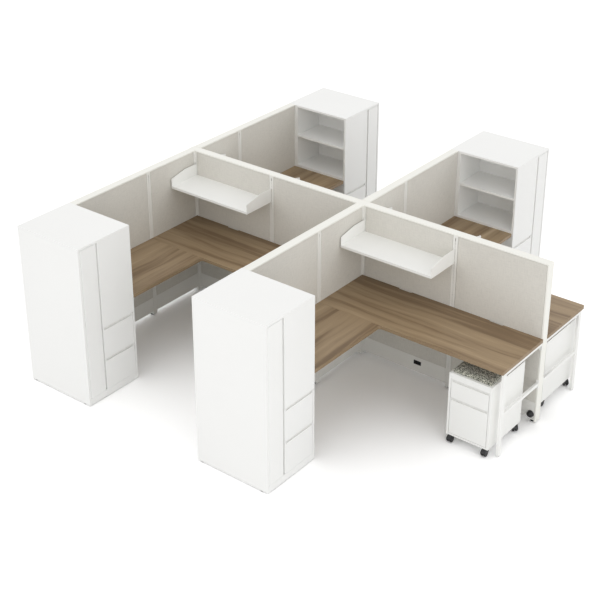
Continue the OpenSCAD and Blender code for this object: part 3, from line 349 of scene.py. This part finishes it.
def tile_weave(name, rgb, pitch):
    """Woven polyester on a tackable tile: plain weave of two close tones, dull, with slubs.

    The real yarn is about 1 mm; the weave is drawn coarser so that it shows at all."""
    slub_size, slub_stretch, cloud_size, relief = 55 * MM, 9.0, 300 * MM, 0.35 * MM
    material, tree, shader, place = new_material(name, rough=0.92, ior=1.45, sheen=0.25)
    shader.inputs["Sheen Roughness"].default_value = 0.6
    split = add(tree, "ShaderNodeSeparateXYZ", {0: place})
    along = calc(tree, "ADD", split.outputs[0], split.outputs[1])
    turn = math.pi / pitch
    warp = calc(tree, "SINE", calc(tree, "MULTIPLY", along, turn))
    weft = calc(tree, "SINE", calc(tree, "MULTIPLY", split.outputs[2], turn))
    weave = calc(tree, "MULTIPLY", warp, weft)
    flat = add(tree, "ShaderNodeCombineXYZ", {0: along, 2: split.outputs[2]}).outputs[0]
    slubs = []
    for scale in ((1.0, 1.0, slub_stretch), (slub_stretch, 1.0, 1.0)):
        stretched = add(tree, "ShaderNodeMapping", {"Vector": flat, "Scale": scale}).outputs[0]
        slubs.append(noise(tree, stretched, slub_size, detail=3))
    clouds = noise(tree, place, cloud_size, detail=2)
    tone = calc(tree, "ADD", calc(tree, "MULTIPLY", calc(tree, "ADD", *slubs), 0.42),
                calc(tree, "MULTIPLY", weave, 0.06))
    tone = calc(tree, "ADD", tone, calc(tree, "MULTIPLY", clouds, 0.16))
    base = ramp(tree, tone, [
        (0.30, shade(rgb, 0.88)), (0.5, shade(rgb, 1.0)), (0.70, shade(rgb, 1.07))])
    tree.links.new(base, shader.inputs["Base Color"])
    link_bump(tree, shader, weave, relief, 0.5)
    return material


def wood_laminate(name, finish):
    """High-pressure laminate with a printed walnut grain: long soft streaks under a satin face.

    The grain runs along X on the long surfaces and along Y on the returns."""
    joint = 0.15 * MM
    return_print = 3.7
    sway_length, sway_width, sway_stretch = 260 * MM, 85 * MM, 0.35
    broad_share, middle_share, fine_share = 1.9, 0.62, 0.12
    material, tree, shader, place = new_material(name, rough=0.44, ior=1.5)

    # The returns take another part of the print, with its grain along Y
    split = add(tree, "ShaderNodeSeparateXYZ", {0: place})
    across_spine = calc(tree, "ABSOLUTE", calc(tree, "SUBTRACT", split.outputs[1], SPINE_Y))
    on_return = calc(tree, "GREATER_THAN", across_spine, MAIN_EDGE + joint)
    turned = add(tree, "ShaderNodeCombineXYZ", {
        0: split.outputs[1], 1: calc(tree, "ADD", split.outputs[0], return_print),
        2: split.outputs[2]}).outputs[0]
    print_place = add(tree, "ShaderNodeMix", {"Factor": on_return, "A": place, "B": turned},
                      data_type="VECTOR").outputs["Result"]

    # Streaks: noises drawn out along the grain, which sways gently across
    slow = add(tree, "ShaderNodeMapping", {
        "Vector": print_place, "Scale": (sway_stretch, 1.0, 1.0)}).outputs[0]
    sway = calc(tree, "MULTIPLY", noise(tree, slow, sway_length, detail=2), sway_width)
    parts = add(tree, "ShaderNodeSeparateXYZ", {0: print_place})
    fibre_place = add(tree, "ShaderNodeCombineXYZ", {
        0: calc(tree, "MULTIPLY", parts.outputs[0], finish.grain_width / finish.grain_length),
        1: calc(tree, "ADD", parts.outputs[1], sway),
        2: calc(tree, "MULTIPLY", parts.outputs[2], 0.2)}).outputs[0]
    broad = noise(tree, fibre_place, finish.grain_width * broad_share, detail=2, rough=0.55)
    middle = noise(tree, fibre_place, finish.grain_width * middle_share, detail=3, rough=0.6)
    fine = noise(tree, fibre_place, finish.grain_width * fine_share, detail=3, rough=0.65)
    tone = calc(tree, "ADD", calc(tree, "MULTIPLY", broad, 0.62), calc(tree, "MULTIPLY", middle, 0.28))
    tone = calc(tree, "ADD", tone, calc(tree, "MULTIPLY", fine, 0.10))

    # Painted shade: the wood is darkened towards the panel, where the panel and shelf cast shade
    painted_shade = add(tree, "ShaderNodeMapRange", {
        "Value": across_spine, "From Min": PANEL_FACE, "From Max": PANEL_FACE + finish.painted_shade_width,
        "To Min": finish.painted_shade_tone, "To Max": 0.0}).outputs[0]
    tone = calc(tree, "SUBTRACT", tone, painted_shade)
    dark, wood = finish.dark_colour, finish.wood_colour
    base = ramp(tree, tone, [
        (0.28, shade(dark, 0.92)), (0.40, shade(dark, 1.12)), (0.49, shade(wood, 1.0)),
        (0.57, shade(wood, 1.12)), (0.70, shade(finish.light_colour, 1.0))])

    # The edge band is plainer than the top
    normal = add(tree, "ShaderNodeNewGeometry").outputs["Normal"]
    facing = add(tree, "ShaderNodeSeparateXYZ", {0: normal})
    on_edge = calc(tree, "LESS_THAN", calc(tree, "ABSOLUTE", facing.outputs[2]), 0.5)
    banded = add(tree, "ShaderNodeMix", {
        "Factor": calc(tree, "MULTIPLY", on_edge, 0.65), "A": base, "B": shade(wood, 0.92),
    }, data_type="RGBA").outputs["Result"]
    tree.links.new(banded, shader.inputs["Base Color"])
    link_bump(tree, shader, fine, 0.10 * MM, 0.5)
    return material


def tweed(name, finish):
    """Wool tweed on a seat: flecked yarns of two tones in a coarse basket weave, hairy and dull."""
    relief = 0.9 * MM
    material, tree, shader, place = new_material(name, rough=0.95, ior=1.45, sheen=0.3)
    shader.inputs["Sheen Roughness"].default_value = 0.7
    flecks = noise(tree, place, finish.fleck, detail=2, rough=0.7)
    small = noise(tree, place, finish.fleck * 0.45, detail=1, rough=0.6)
    yarn = add(tree, "ShaderNodeTexVoronoi", {"Vector": place, "Scale": 1.0 / finish.fleck})
    tone = calc(tree, "ADD", calc(tree, "MULTIPLY", flecks, 0.6), calc(tree, "MULTIPLY", small, 0.4))
    base = ramp(tree, tone, [
        (0.43, shade(finish.dark_colour, 0.3)), (0.48, shade(finish.dark_colour, 1.0)),
        (0.52, shade(finish.light_colour, 0.45)), (0.58, shade(finish.light_colour, 1.0))])
    tree.links.new(base, shader.inputs["Base Color"])
    height = calc(tree, "ADD", yarn.outputs["Distance"], calc(tree, "MULTIPLY", small, 0.5))
    link_bump(tree, shader, height, relief, 0.7)
    return material


def moulded_plastic(name, rgb, rough, grain):
    """Moulded nylon or ABS: even colour, with the fine spark grain of its mould."""
    flow_mark, grain_depth = 20 * MM, 0.05 * MM
    material, tree, shader, place = new_material(name, rough=rough, ior=1.53)
    clouds = noise(tree, place, flow_mark, detail=2)
    base = ramp(tree, clouds, [(0.3, shade(rgb, 0.95)), (0.7, shade(rgb, 1.04))])
    tree.links.new(base, shader.inputs["Base Color"])
    link_bump(tree, shader, noise(tree, place, grain, detail=2), grain_depth, 0.6)
    return material


def rolled_zinc(name, rgb):
    """Zinc-plated strip steel, rolled to a channel: a bright metal with streaks along the roll."""
    streak_width, streak_depth, squeeze = 1.2 * MM, 0.03 * MM, 0.02
    material, tree, shader, place = new_material(name, rough=0.36, metallic=1.0)
    along_roll = add(tree, "ShaderNodeMapping", {
        "Vector": place, "Scale": (squeeze, squeeze, 1.0)}).outputs[0]
    streaks = noise(tree, along_roll, streak_width, detail=3)
    base = ramp(tree, streaks, [(0.3, shade(rgb, 0.85)), (0.7, shade(rgb, 1.05))])
    tree.links.new(base, shader.inputs["Base Color"])
    link_bump(tree, shader, streaks, streak_depth, 0.4)
    return material


def chrome(name, rgb):
    """Chromed steel tube: a polished metal that mirrors what stands round it."""
    smear_size = 30 * MM
    material, tree, shader, place = new_material(name, rough=0.12, metallic=1.0)
    smears = noise(tree, place, smear_size, detail=3)
    base = ramp(tree, smears, [(0.3, shade(rgb, 0.95)), (0.7, shade(rgb, 1.0))])
    tree.links.new(base, shader.inputs["Base Color"])
    return material


def dress(names, material, edge=0.0, segments=2):
    """Gives CAD nodes their material and, with edge, the small rounding of their real edges."""
    for name in names:
        piece = NODES[name]
        piece.data.materials.clear()
        piece.data.materials.append(material)
        if edge:
            weld = piece.modifiers.new("Weld", "WELD")
            weld.merge_threshold = WELD_DISTANCE
            bevel = piece.modifiers.new("Edge", "BEVEL")
            bevel.width = edge
            bevel.segments = segments
            bevel.limit_method = "ANGLE"
            bevel.angle_limit = SHARP_ANGLE
            bevel.harden_normals = True


def keep_piece(piece, body, slot, *replaced):
    """Links a finished mesh to its body and hides the nodes that it replaces. The slot is not used."""
    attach(piece, body)
    if replaced:
        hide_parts(*replaced)


def mesh_piece(name, mesh, material):
    """A new object at the origin for a finished mesh."""
    piece = bpy.data.objects.new(name, mesh)
    bpy.context.scene.collection.objects.link(piece)
    mesh.materials.clear()
    mesh.materials.append(material)
    return piece


def freeze(context, piece):
    """Turns a piece's modifiers into its mesh."""
    context.view_layer.update()
    mesh = bpy.data.meshes.new_from_object(
        piece.evaluated_get(context.evaluated_depsgraph_get()))
    piece.modifiers.clear()
    piece.data = mesh


def look(context):
    """The settings that the operators read."""
    return context.scene.workstation_looks


class WorkstationLooks(bpy.types.PropertyGroup):
    """All finishes of the workstation."""
    panels: PointerProperty(type=PanelFinish)
    desks: PointerProperty(type=DeskFinish)
    storage: PointerProperty(type=StorageFinish)
    cushions: PointerProperty(type=CushionFinish)
    stage: PointerProperty(type=StageSettings)


class WORKSTATION_OT_stage(bpy.types.Operator):
    """Sets up the camera, the lamps, the sky and the floor"""
    bl_idname = "workstation.stage"
    bl_label = "Stage"

    def execute(self, context):
        settings = look(context).stage
        scene = context.scene
        scene.view_settings.view_transform = "Standard"
        az, el = settings.azimuth, settings.elevation
        back = Vector((math.sin(az) * math.cos(el), -math.cos(az) * math.cos(el), math.sin(el)))
        data = bpy.data.cameras.new("studio_camera")
        data.sensor_width = FILM_WIDTH
        data.lens = settings.lens
        data.shift_y = settings.shift
        camera = bpy.data.objects.new("studio_camera", data)
        scene.collection.objects.link(camera)
        camera.location = settings.camera_place
        camera.rotation_mode = "QUATERNION"
        camera.rotation_quaternion = (-back).to_track_quat("-Z", "Y")
        data.clip_start, data.clip_end = CLIP_NEAR, CLIP_FAR
        scene.camera = camera
        self.sky(scene, settings)
        self.lamp(scene, "front_lamp", FRONT_LAMP, settings.front)
        self.lamp(scene, "right_lamp", RIGHT_LAMP, settings.right)
        self.floor(settings)
        return {"FINISHED"}

    @staticmethod
    def sky(scene, settings):
        """A plain white surround: its light, and pure white where the camera sees past the floor."""
        world = bpy.data.worlds.new("studio_sky")
        world.use_nodes = True
        scene.world = world
        tree = world.node_tree
        shown = tree.nodes["Background"]
        shown.inputs["Color"].default_value = (1, 1, 1, 1)
        shown.inputs["Strength"].default_value = 1.0
        light = add(tree, "ShaderNodeBackground", {
            "Color": (1, 1, 1, 1), "Strength": settings.sky})
        rays = add(tree, "ShaderNodeLightPath")
        seen = calc(tree, "MAXIMUM", rays.outputs["Is Camera Ray"], rays.outputs["Is Glossy Ray"])
        seen = calc(tree, "MAXIMUM", seen, rays.outputs["Is Transmission Ray"])
        mixed = add(tree, "ShaderNodeMixShader", {
            0: seen, 1: light.outputs[0], 2: shown.outputs[0]})
        tree.links.new(mixed.outputs[0], tree.nodes["World Output"].inputs["Surface"])

    @staticmethod
    def lamp(scene, name, place, power):
        """A square soft box that looks at the middle of the floor."""
        data = bpy.data.lights.new(name, "AREA")
        data.size = LAMP_SIZE
        data.energy = power
        lamp = bpy.data.objects.new(name, data)
        scene.collection.objects.link(lamp)
        lamp.location = place
        lamp.rotation_mode = "QUATERNION"
        lamp.rotation_quaternion = (LAMP_TARGET - Vector(place)).to_track_quat("-Z", "Y")

    @staticmethod
    def floor(settings):
        """A round pale floor, which the camera sees a little brighter than it lights the object."""
        mesh = bpy.data.meshes.new("studio_floor")
        form = bmesh.new()
        bmesh.ops.create_circle(form, cap_ends=True, segments=FLOOR_SIDES, radius=FLOOR_RADIUS)
        form.to_mesh(mesh)
        form.free()
        material, tree, shader, place = new_material("studio_floor_paint", rough=0.9)
        cloud_size = 3.0
        clouds = noise(tree, place, cloud_size, detail=1)
        base = ramp(tree, clouds, [(0.2, shade(settings.floor_colour, 0.995)),
                                   (0.8, shade(settings.floor_colour, 1.0))])
        tree.links.new(base, shader.inputs["Base Color"])
        shader.inputs["Specular IOR Level"].default_value = 0.1
        gain = shade((settings.floor_gain,) * 3, 1.0)
        lift = add(tree, "ShaderNodeBsdfDiffuse", {"Color": gain})
        both = add(tree, "ShaderNodeAddShader", {0: shader.outputs[0], 1: lift.outputs[0]})
        rays = add(tree, "ShaderNodeLightPath").outputs["Is Camera Ray"]
        mixed = add(tree, "ShaderNodeMixShader", {
            0: rays, 1: shader.outputs[0], 2: both.outputs[0]})
        tree.links.new(mixed.outputs[0], tree.nodes["Material Output"].inputs["Surface"])
        floor = mesh_piece("studio_floor", mesh, material)
        floor.location.z = -FLOOR_DROP


def slot_web_nodes(material):
    """Geometry Nodes: a column of short webs on each point, turned by the point's turn attribute."""
    group = bpy.data.node_groups.new("slot_webs", "GeometryNodeTree")
    group.interface.new_socket("Feet", in_out="INPUT", socket_type="NodeSocketGeometry")
    for name in ("Pitch", "Web", "Width", "Wall"):
        group.interface.new_socket(name, in_out="INPUT", socket_type="NodeSocketFloat")
    group.interface.new_socket("Count", in_out="INPUT", socket_type="NodeSocketInt")
    group.interface.new_socket("Webs", in_out="OUTPUT", socket_type="NodeSocketGeometry")
    given = group.nodes.new("NodeGroupInput").outputs
    step = add(group, "ShaderNodeCombineXYZ", {"Z": given["Pitch"]}).outputs[0]
    size = add(group, "ShaderNodeCombineXYZ", {
        "X": given["Width"], "Y": given["Wall"], "Z": given["Web"]}).outputs[0]
    web = add(group, "GeometryNodeMeshCube", {"Size": size}).outputs["Mesh"]
    steps = add(group, "GeometryNodeMeshLine", {
        "Count": given["Count"], "Offset": step}).outputs["Mesh"]
    column = add(group, "GeometryNodeInstanceOnPoints", {
        "Points": steps, "Instance": web}).outputs[0]
    turn = add(group, "GeometryNodeInputNamedAttribute", {"Name": "turn"},
               data_type="FLOAT").outputs[0]
    turned = add(group, "FunctionNodeEulerToRotation", {
        "Euler": add(group, "ShaderNodeCombineXYZ", {"Z": turn}).outputs[0]}).outputs[0]
    webs = add(group, "GeometryNodeInstanceOnPoints", {
        "Points": given["Feet"], "Instance": column, "Rotation": turned}).outputs[0]
    real = add(group, "GeometryNodeRealizeInstances", {"Geometry": webs}).outputs[0]
    dressed = add(group, "GeometryNodeSetMaterial", {
        "Geometry": real, "Material": material}).outputs[0]
    group.links.new(dressed, group.nodes.new("NodeGroupOutput").inputs["Webs"])
    return group


class WORKSTATION_OT_panels(bpy.types.Operator):
    """Finishes the posts, rails, caps, raceway covers and fabric tiles"""
    bl_idname = "workstation.panels"
    bl_label = "Panels"

    def execute(self, context):
        finish = look(context).panels
        coat = powder_coat("powder_coated_steel_frame", finish.frame_colour)
        dress(["panel_posts", "raceway_covers"], coat, edge=PLATE_EDGE)
        dress(["panel_rails"], coat)
        cap = powder_coat("powder_coated_aluminium_cap", finish.cap_colour)
        dress(["panel_top_caps", "spine_end_cover"], cap, edge=CAP_EDGE)
        weave = tile_weave("woven_polyester_tile", finish.tile_colour, finish.yarn_pitch)
        dress(["spine_tiles", "left_run_tiles", "right_run_tiles"], weave, edge=finish.tile_edge,
              segments=3)
        self.slot_webs(context, coat, finish)
        return {"FINISHED"}

    @staticmethod
    def slot_webs(context, coat, finish):
        """The webs that part each post's groove into hanging slots, from the raceway to the cap."""
        out = POST_FACE - SLOT_WALL / 2
        places = [(x + SPINE_BAY, SPINE_Y + side * out, 0.0) for x in RUN_XS for side in (-1, 1)]
        places += [(x + side * out, SPINE_Y + y, math.pi / 2)
                   for x in RUN_XS for y in (-FRONT_BAY, BACK_BAY) for side in (-1, 1)]
        lowest = SLOT_LOW + finish.slot_pitch / 2
        mesh = bpy.data.meshes.new("slot_web_feet")
        mesh.from_pydata([(x, y, lowest) for x, y, _ in places], [], [])
        turns = mesh.attributes.new("turn", "FLOAT", "POINT")
        turns.data.foreach_set("value", [turn for _, _, turn in places])
        piece = mesh_piece("slot_webs", mesh, coat)
        group = slot_web_nodes(coat)
        nodes = piece.modifiers.new("Webs", "NODES")
        nodes.node_group = group
        count = int((SLOT_HIGH - SLOT_LOW) / finish.slot_pitch)
        values = {"Pitch": finish.slot_pitch, "Web": finish.slot_web, "Width": SLOT_WIDTH,
                  "Wall": SLOT_WALL, "Count": count}
        for socket in group.interface.items_tree:
            if socket.item_type == "SOCKET" and socket.name in values:
                nodes[socket.identifier] = values[socket.name]
        piece.update_tag()
        freeze(context, piece)
        faces_of_a_web = 6
        if len(piece.data.polygons) != faces_of_a_web * count * len(places):
            raise RuntimeError("the slot webs weren't made")
        keep_piece(piece, ROOT, "frame_paint")


class WORKSTATION_OT_worksurfaces(bpy.types.Operator):
    """Finishes the four worksurfaces"""
    bl_idname = "workstation.worksurfaces"
    bl_label = "Worksurfaces"

    def execute(self, context):
        finish = look(context).desks
        laminate = wood_laminate("walnut_print_laminate", finish)
        dress([f"{place}_worksurface" for place in PLACES], laminate, edge=finish.edge_round)
        return {"FINISHED"}


class WORKSTATION_OT_steelwork(bpy.types.Operator):
    """Finishes the shelves, brackets and end legs"""
    bl_idname = "workstation.steelwork"
    bl_label = "Steelwork"

    def execute(self, context):
        finish = look(context).storage
        coat = powder_coat("powder_coated_steel_white", finish.coat_colour)
        dress(["front_shelves", "back_shelves"], coat, edge=SHEET_EDGE)
        dress(["worksurface_brackets"], coat, edge=PLATE_EDGE)
        dress(["end_legs"], coat, edge=TUBE_EDGE, segments=3)
        return {"FINISHED"}


def box_form(name, boxes, material, bevel=0.0):
    """One mesh object of plain boxes, given by two corners each, with rounded edges if wanted."""
    form = bmesh.new()
    for low, high in boxes:
        made = bmesh.ops.create_cube(form, size=1.0)["verts"]
        bmesh.ops.scale(form, vec=high - low, verts=made)
        bmesh.ops.translate(form, vec=(low + high) / 2, verts=made)
    if bevel:
        bmesh.ops.bevel(form, geom=form.edges, offset=bevel, segments=2, affect="EDGES")
    bmesh.ops.recalc_face_normals(form, faces=form.faces)
    mesh = bpy.data.meshes.new(name)
    form.to_mesh(mesh)
    form.free()
    return mesh_piece(name, mesh, material)


def pull(drawer, faces, ends, face_material, finish):
    """A drawer's finger pull: the whole ends of the front beside it, and behind it a grey strip of
    painted shade for the recess.

    faces is the way that the front looks, x, +y or -y, and ends the two lengths left whole."""
    low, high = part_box(drawer)
    outwards = -1 if faces == "-y" else 1
    front = high.x if faces == "x" else high.y if faces == "+y" else low.y
    left, right = (low.y, high.y) if faces == "x" else (low.x, high.x)
    foot = high.z - PULL_HEIGHT - PULL_DEPTH / 2

    def block(deep, near, first, last, height):
        """The corners of a block from first to last along the front, at two depths behind it."""
        back, fore = sorted((front - outwards * deep, front - outwards * near))
        if faces == "x":
            return Vector((back, first, foot)), Vector((fore, last, height))
        return Vector((first, back, foot)), Vector((last, fore, height))

    deepest = PULL_DEPTH + END_SKIN
    start, stop, top = left + ends[0], right - ends[1], high.z - END_SKIN
    piece = box_form(f"{drawer}_pull_ends", [
        block(deepest, END_SKIN, left + END_SKIN, start, top),
        block(deepest, END_SKIN, stop, right - END_SKIN, top)], face_material, bevel=END_EDGE)
    keep_piece(piece, drawer, "storage_board")
    # Painted shade: a grey strip at the back of the recess stands for the shade in a deep pull
    shade_strip = box_form(f"{drawer}_pull_shade_strip", [
        block(deepest, PULL_DEPTH - SHADE_STRIP_THICKNESS, start, stop, high.z - SHADE_STRIP_DROP)],
        pull_shade_material(finish))
    keep_piece(shade_strip, drawer, "storage_board")


def pull_shade_material(finish):
    """The material of the pulls' grey strip, painted shade for their recesses, made once."""
    name = "painted_pull_shade"
    made = bpy.data.materials.get(name)
    return made or moulded_plastic(name, finish.pull_shade_colour, rough=0.6, grain=1 * MM)


class WORKSTATION_OT_towers(bpy.types.Operator):
    """Finishes the storage towers, their doors, drawers, rods and runners"""
    bl_idname = "workstation.towers"
    bl_label = "Towers"

    def execute(self, context):
        finish = look(context).storage
        board = melamine("white_melamine_board", finish.board_colour)
        ends = (PULL_END_BY_DOOR, PULL_END_BY_SPINE)
        for place in PLACES:
            drawers = [f"{place}_{level}_drawer" for level in ("upper", "lower")]
            dress([f"{place}_tower_case", f"{place}_wardrobe_door", *drawers], board,
                  edge=finish.edge_round)
            for drawer in drawers:
                pull(drawer, "x", ends if place.startswith("front") else ends[::-1], board, finish)
        dress(["drawer_runners"], rolled_zinc("zinc_plated_steel", colour(RUNNER_ZINC)))
        dress(["coat_rods"], chrome("chromed_steel_tube", colour(ROD_CHROME)))
        return {"FINISHED"}


class WORKSTATION_OT_pedestals(bpy.types.Operator):
    """Finishes the rolling pedestals and their drawers"""
    bl_idname = "workstation.pedestals"
    bl_label = "Pedestals"

    def execute(self, context):
        finish = look(context).storage
        coat = powder_coat("powder_coated_steel_pedestal", finish.coat_colour)
        for side, faces in zip(SIDES, ("-y", "+y")):
            drawers = [f"{side}_pedestal_{kind}_drawer" for kind in ("box", "file")]
            dress([f"{side}_pedestal_case", *drawers], coat, edge=SHELL_EDGE, segments=3)
            for drawer in drawers:
                pull(drawer, faces, (PULL_END_PEDESTAL,) * 2, coat, finish)
        return {"FINISHED"}


class WORKSTATION_OT_casters(bpy.types.Operator):
    """Finishes the casters, glides and power outlets"""
    bl_idname = "workstation.casters"
    bl_label = "Casters and feet"

    def execute(self, context):
        nylon = moulded_plastic("black_nylon_caster", colour(CASTER_BLACK), rough=0.42, grain=1.5 * MM)
        for side in SIDES:
            dress([f"{side}_caster_{part}_{n}" for part in ("yoke", "wheels") for n in CASTERS], nylon)
        abs_black = moulded_plastic("black_moulded_abs", colour(ABS_BLACK), rough=0.5, grain=1 * MM)
        dress(["levelling_glides", "power_outlets"], abs_black)
        return {"FINISHED"}


def rounded_slab(low, high, radius, steps):
    """A closed slab with round upright corners, as a starting shape for a cushion."""
    form = bmesh.new()
    cx, cy = (low.x + high.x) / 2, (low.y + high.y) / 2
    hx, hy = (high.x - low.x) / 2 - radius, (high.y - low.y) / 2 - radius
    outline = []
    for sx, sy, start in ((1, 1, 0), (-1, 1, 1), (-1, -1, 2), (1, -1, 3)):
        for i in range(steps + 1):
            angle = (start + i / steps) * math.pi / 2
            outline.append((cx + sx * hx + radius * math.cos(angle),
                            cy + sy * hy + radius * math.sin(angle)))
    lower = [form.verts.new((x, y, low.z)) for x, y in outline]
    upper = [form.verts.new((x, y, high.z)) for x, y in outline]
    form.faces.new(lower[::-1])
    form.faces.new(upper)
    for i, vertex in enumerate(lower):
        j = (i + 1) % len(lower)
        form.faces.new((vertex, lower[j], upper[j], upper[i]))
    return form


class WORKSTATION_OT_cushions(bpy.types.Operator):
    """Makes the two seat cushions as filled covers with a welt"""
    bl_idname = "workstation.cushions"
    bl_label = "Cushions"

    def execute(self, context):
        finish = look(context).cushions
        cloth = tweed("flecked_wool_tweed", finish)
        for side in SIDES:
            node = f"{side}_pedestal_cushion"
            low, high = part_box(node)
            cover = self.cover(context, side, low, high, cloth, finish)
            keep_piece(cover, f"{side}_pedestal", "cushion_fabric", node)
            welt = self.welt(side, cover, low, high, cloth, finish)
            keep_piece(welt, f"{side}_pedestal", "cushion_fabric")
        return {"FINISHED"}

    def cover(self, context, side, low, high, cloth, finish):
        """The cover: a thin slab that filling pressure swells and whose points may move only so far."""
        inset = Vector((COVER_INSET, COVER_INSET, 0))
        crown_room = (high.z - low.z) * CROWN_SHARE
        slab_top = Vector((high.x, high.y, high.z - crown_room))
        form = rounded_slab(low + inset, slab_top - inset, COVER_CORNER, CORNER_STEPS)
        mesh = bpy.data.meshes.new(f"{side}_cushion_cover")
        form.to_mesh(mesh)
        form.free()
        piece = mesh_piece(f"{side}_cushion_cover", mesh, cloth)
        remesh = piece.modifiers.new("Remesh", "REMESH")
        remesh.mode = "VOXEL"
        remesh.voxel_size = finish.voxel
        freeze(context, piece)
        starts = [v.co.copy() for v in piece.data.vertices]
        self.inflate(context, piece, finish)
        for point, start in zip(piece.data.vertices, starts):
            move = point.co - start
            if move.length > finish.swell:
                move *= finish.swell / move.length
            place = start + move
            place.z = low.z if start.z < low.z + BASE_HEIGHT else max(low.z, place.z)
            point.co = place
        smooth = piece.modifiers.new("Subdivision", "SUBSURF")
        smooth.levels = smooth.render_levels = 1
        freeze(context, piece)
        for face in piece.data.polygons:
            face.use_smooth = True
        return piece

    @staticmethod
    def crown(piece, low, high, room):
        """The quick stand-in for the simulation: the upper half rises to a plain crown."""
        centre, half = (low + high) / 2, (high - low) / 2
        for point in piece.data.vertices:
            if point.co.z > centre.z:
                u = abs(point.co.x - centre.x) / half.x
                v = abs(point.co.y - centre.y) / half.y
                point.co.z += room * max(0.0, (1 - u ** CROWN_POWER) * (1 - v ** CROWN_POWER))

    @staticmethod
    def inflate(context, piece, finish):
        """Fills the cover: cloth with pressure and no gravity, for a few frames."""
        scene = context.scene
        cloth = piece.modifiers.new("Cloth", "CLOTH")
        cloth.settings.use_pressure = True
        cloth.settings.uniform_pressure_force = finish.pressure
        cloth.settings.effector_weights.gravity = 0
        cloth.settings.quality = CLOTH_QUALITY
        cloth.point_cache.frame_start = 1
        cloth.point_cache.frame_end = CLOTH_FRAMES
        for number in range(1, CLOTH_FRAMES + 1):
            scene.frame_set(number)
        filled = bpy.data.meshes.new_from_object(
            piece.evaluated_get(context.evaluated_depsgraph_get()))
        piece.modifiers.clear()
        scene.frame_set(1)
        for point, new in zip(piece.data.vertices, filled.vertices):
            point.co = new.co
        bpy.data.meshes.remove(filled)

    @staticmethod
    def welt(side, cover, low, high, cloth, finish):
        """The piping: a round cord in cloth that follows the cover's side all the way round."""
        tree = BVHTree.FromPolygons([v.co for v in cover.data.vertices],
                                    [p.vertices for p in cover.data.polygons])
        centre = (low + high) / 2
        centre.z = low.z + (high.z - low.z) * SEAM_SHARE
        path = []
        for i in range(WELT_POINTS):
            angle = math.tau * i / WELT_POINTS
            out = Vector((math.cos(angle) * (high.x - low.x), math.sin(angle) * (high.y - low.y), 0))
            hit = tree.ray_cast(centre + out, -out.normalized())[0]
            path.append(hit if hit else centre + out / 2)
        form = bmesh.new()
        up = Vector((0, 0, 1))
        turns = [math.tau * k / WELT_SIDES for k in range(WELT_SIDES)]
        rings = []
        for i, point in enumerate(path):
            ahead = (path[(i + 1) % WELT_POINTS] - path[i - 1]).normalized()
            outwards = ahead.cross(up).normalized()
            rings.append([form.verts.new(
                point + finish.welt * (outwards * math.cos(turn) + up * math.sin(turn)))
                for turn in turns])
        for ring, after in zip(rings, rings[1:] + rings[:1]):
            for k in range(WELT_SIDES):
                m = (k + 1) % WELT_SIDES
                form.faces.new((ring[k], ring[m], after[m], after[k])).smooth = True
        bmesh.ops.recalc_face_normals(form, faces=form.faces)
        mesh = bpy.data.meshes.new(f"{side}_cushion_welt")
        form.to_mesh(mesh)
        form.free()
        return mesh_piece(f"{side}_cushion_welt", mesh, cloth)


class WORKSTATION_PT_panel(bpy.types.Panel):
    """Lists the workstation's operators"""
    bl_idname = "WORKSTATION_PT_panel"
    bl_label = "Workstation"
    bl_space_type = "VIEW_3D"
    bl_region_type = "UI"
    bl_category = "Workstation"

    def draw(self, context):
        for operator in OPERATORS:
            self.layout.operator(operator.bl_idname)


OPERATORS = (
    WORKSTATION_OT_stage,
    WORKSTATION_OT_panels,
    WORKSTATION_OT_worksurfaces,
    WORKSTATION_OT_steelwork,
    WORKSTATION_OT_towers,
    WORKSTATION_OT_pedestals,
    WORKSTATION_OT_casters,
    WORKSTATION_OT_cushions,
)
CLASSES = (
    PanelFinish, DeskFinish, StorageFinish, CushionFinish, StageSettings, WorkstationLooks,
    *OPERATORS, WORKSTATION_PT_panel,
)


def register():
    for item in CLASSES:
        bpy.utils.register_class(item)
    bpy.types.Scene.workstation_looks = PointerProperty(type=WorkstationLooks)


def unregister():
    del bpy.types.Scene.workstation_looks
    for item in reversed(CLASSES):
        bpy.utils.unregister_class(item)


def main():
    """Makes every piece in turn."""
    register()
    bpy.ops.workstation.stage()
    bpy.ops.workstation.panels()
    bpy.ops.workstation.worksurfaces()
    bpy.ops.workstation.steelwork()
    bpy.ops.workstation.towers()
    bpy.ops.workstation.pedestals()
    bpy.ops.workstation.casters()
    bpy.ops.workstation.cushions()


if __name__ == "__main__":
    main()
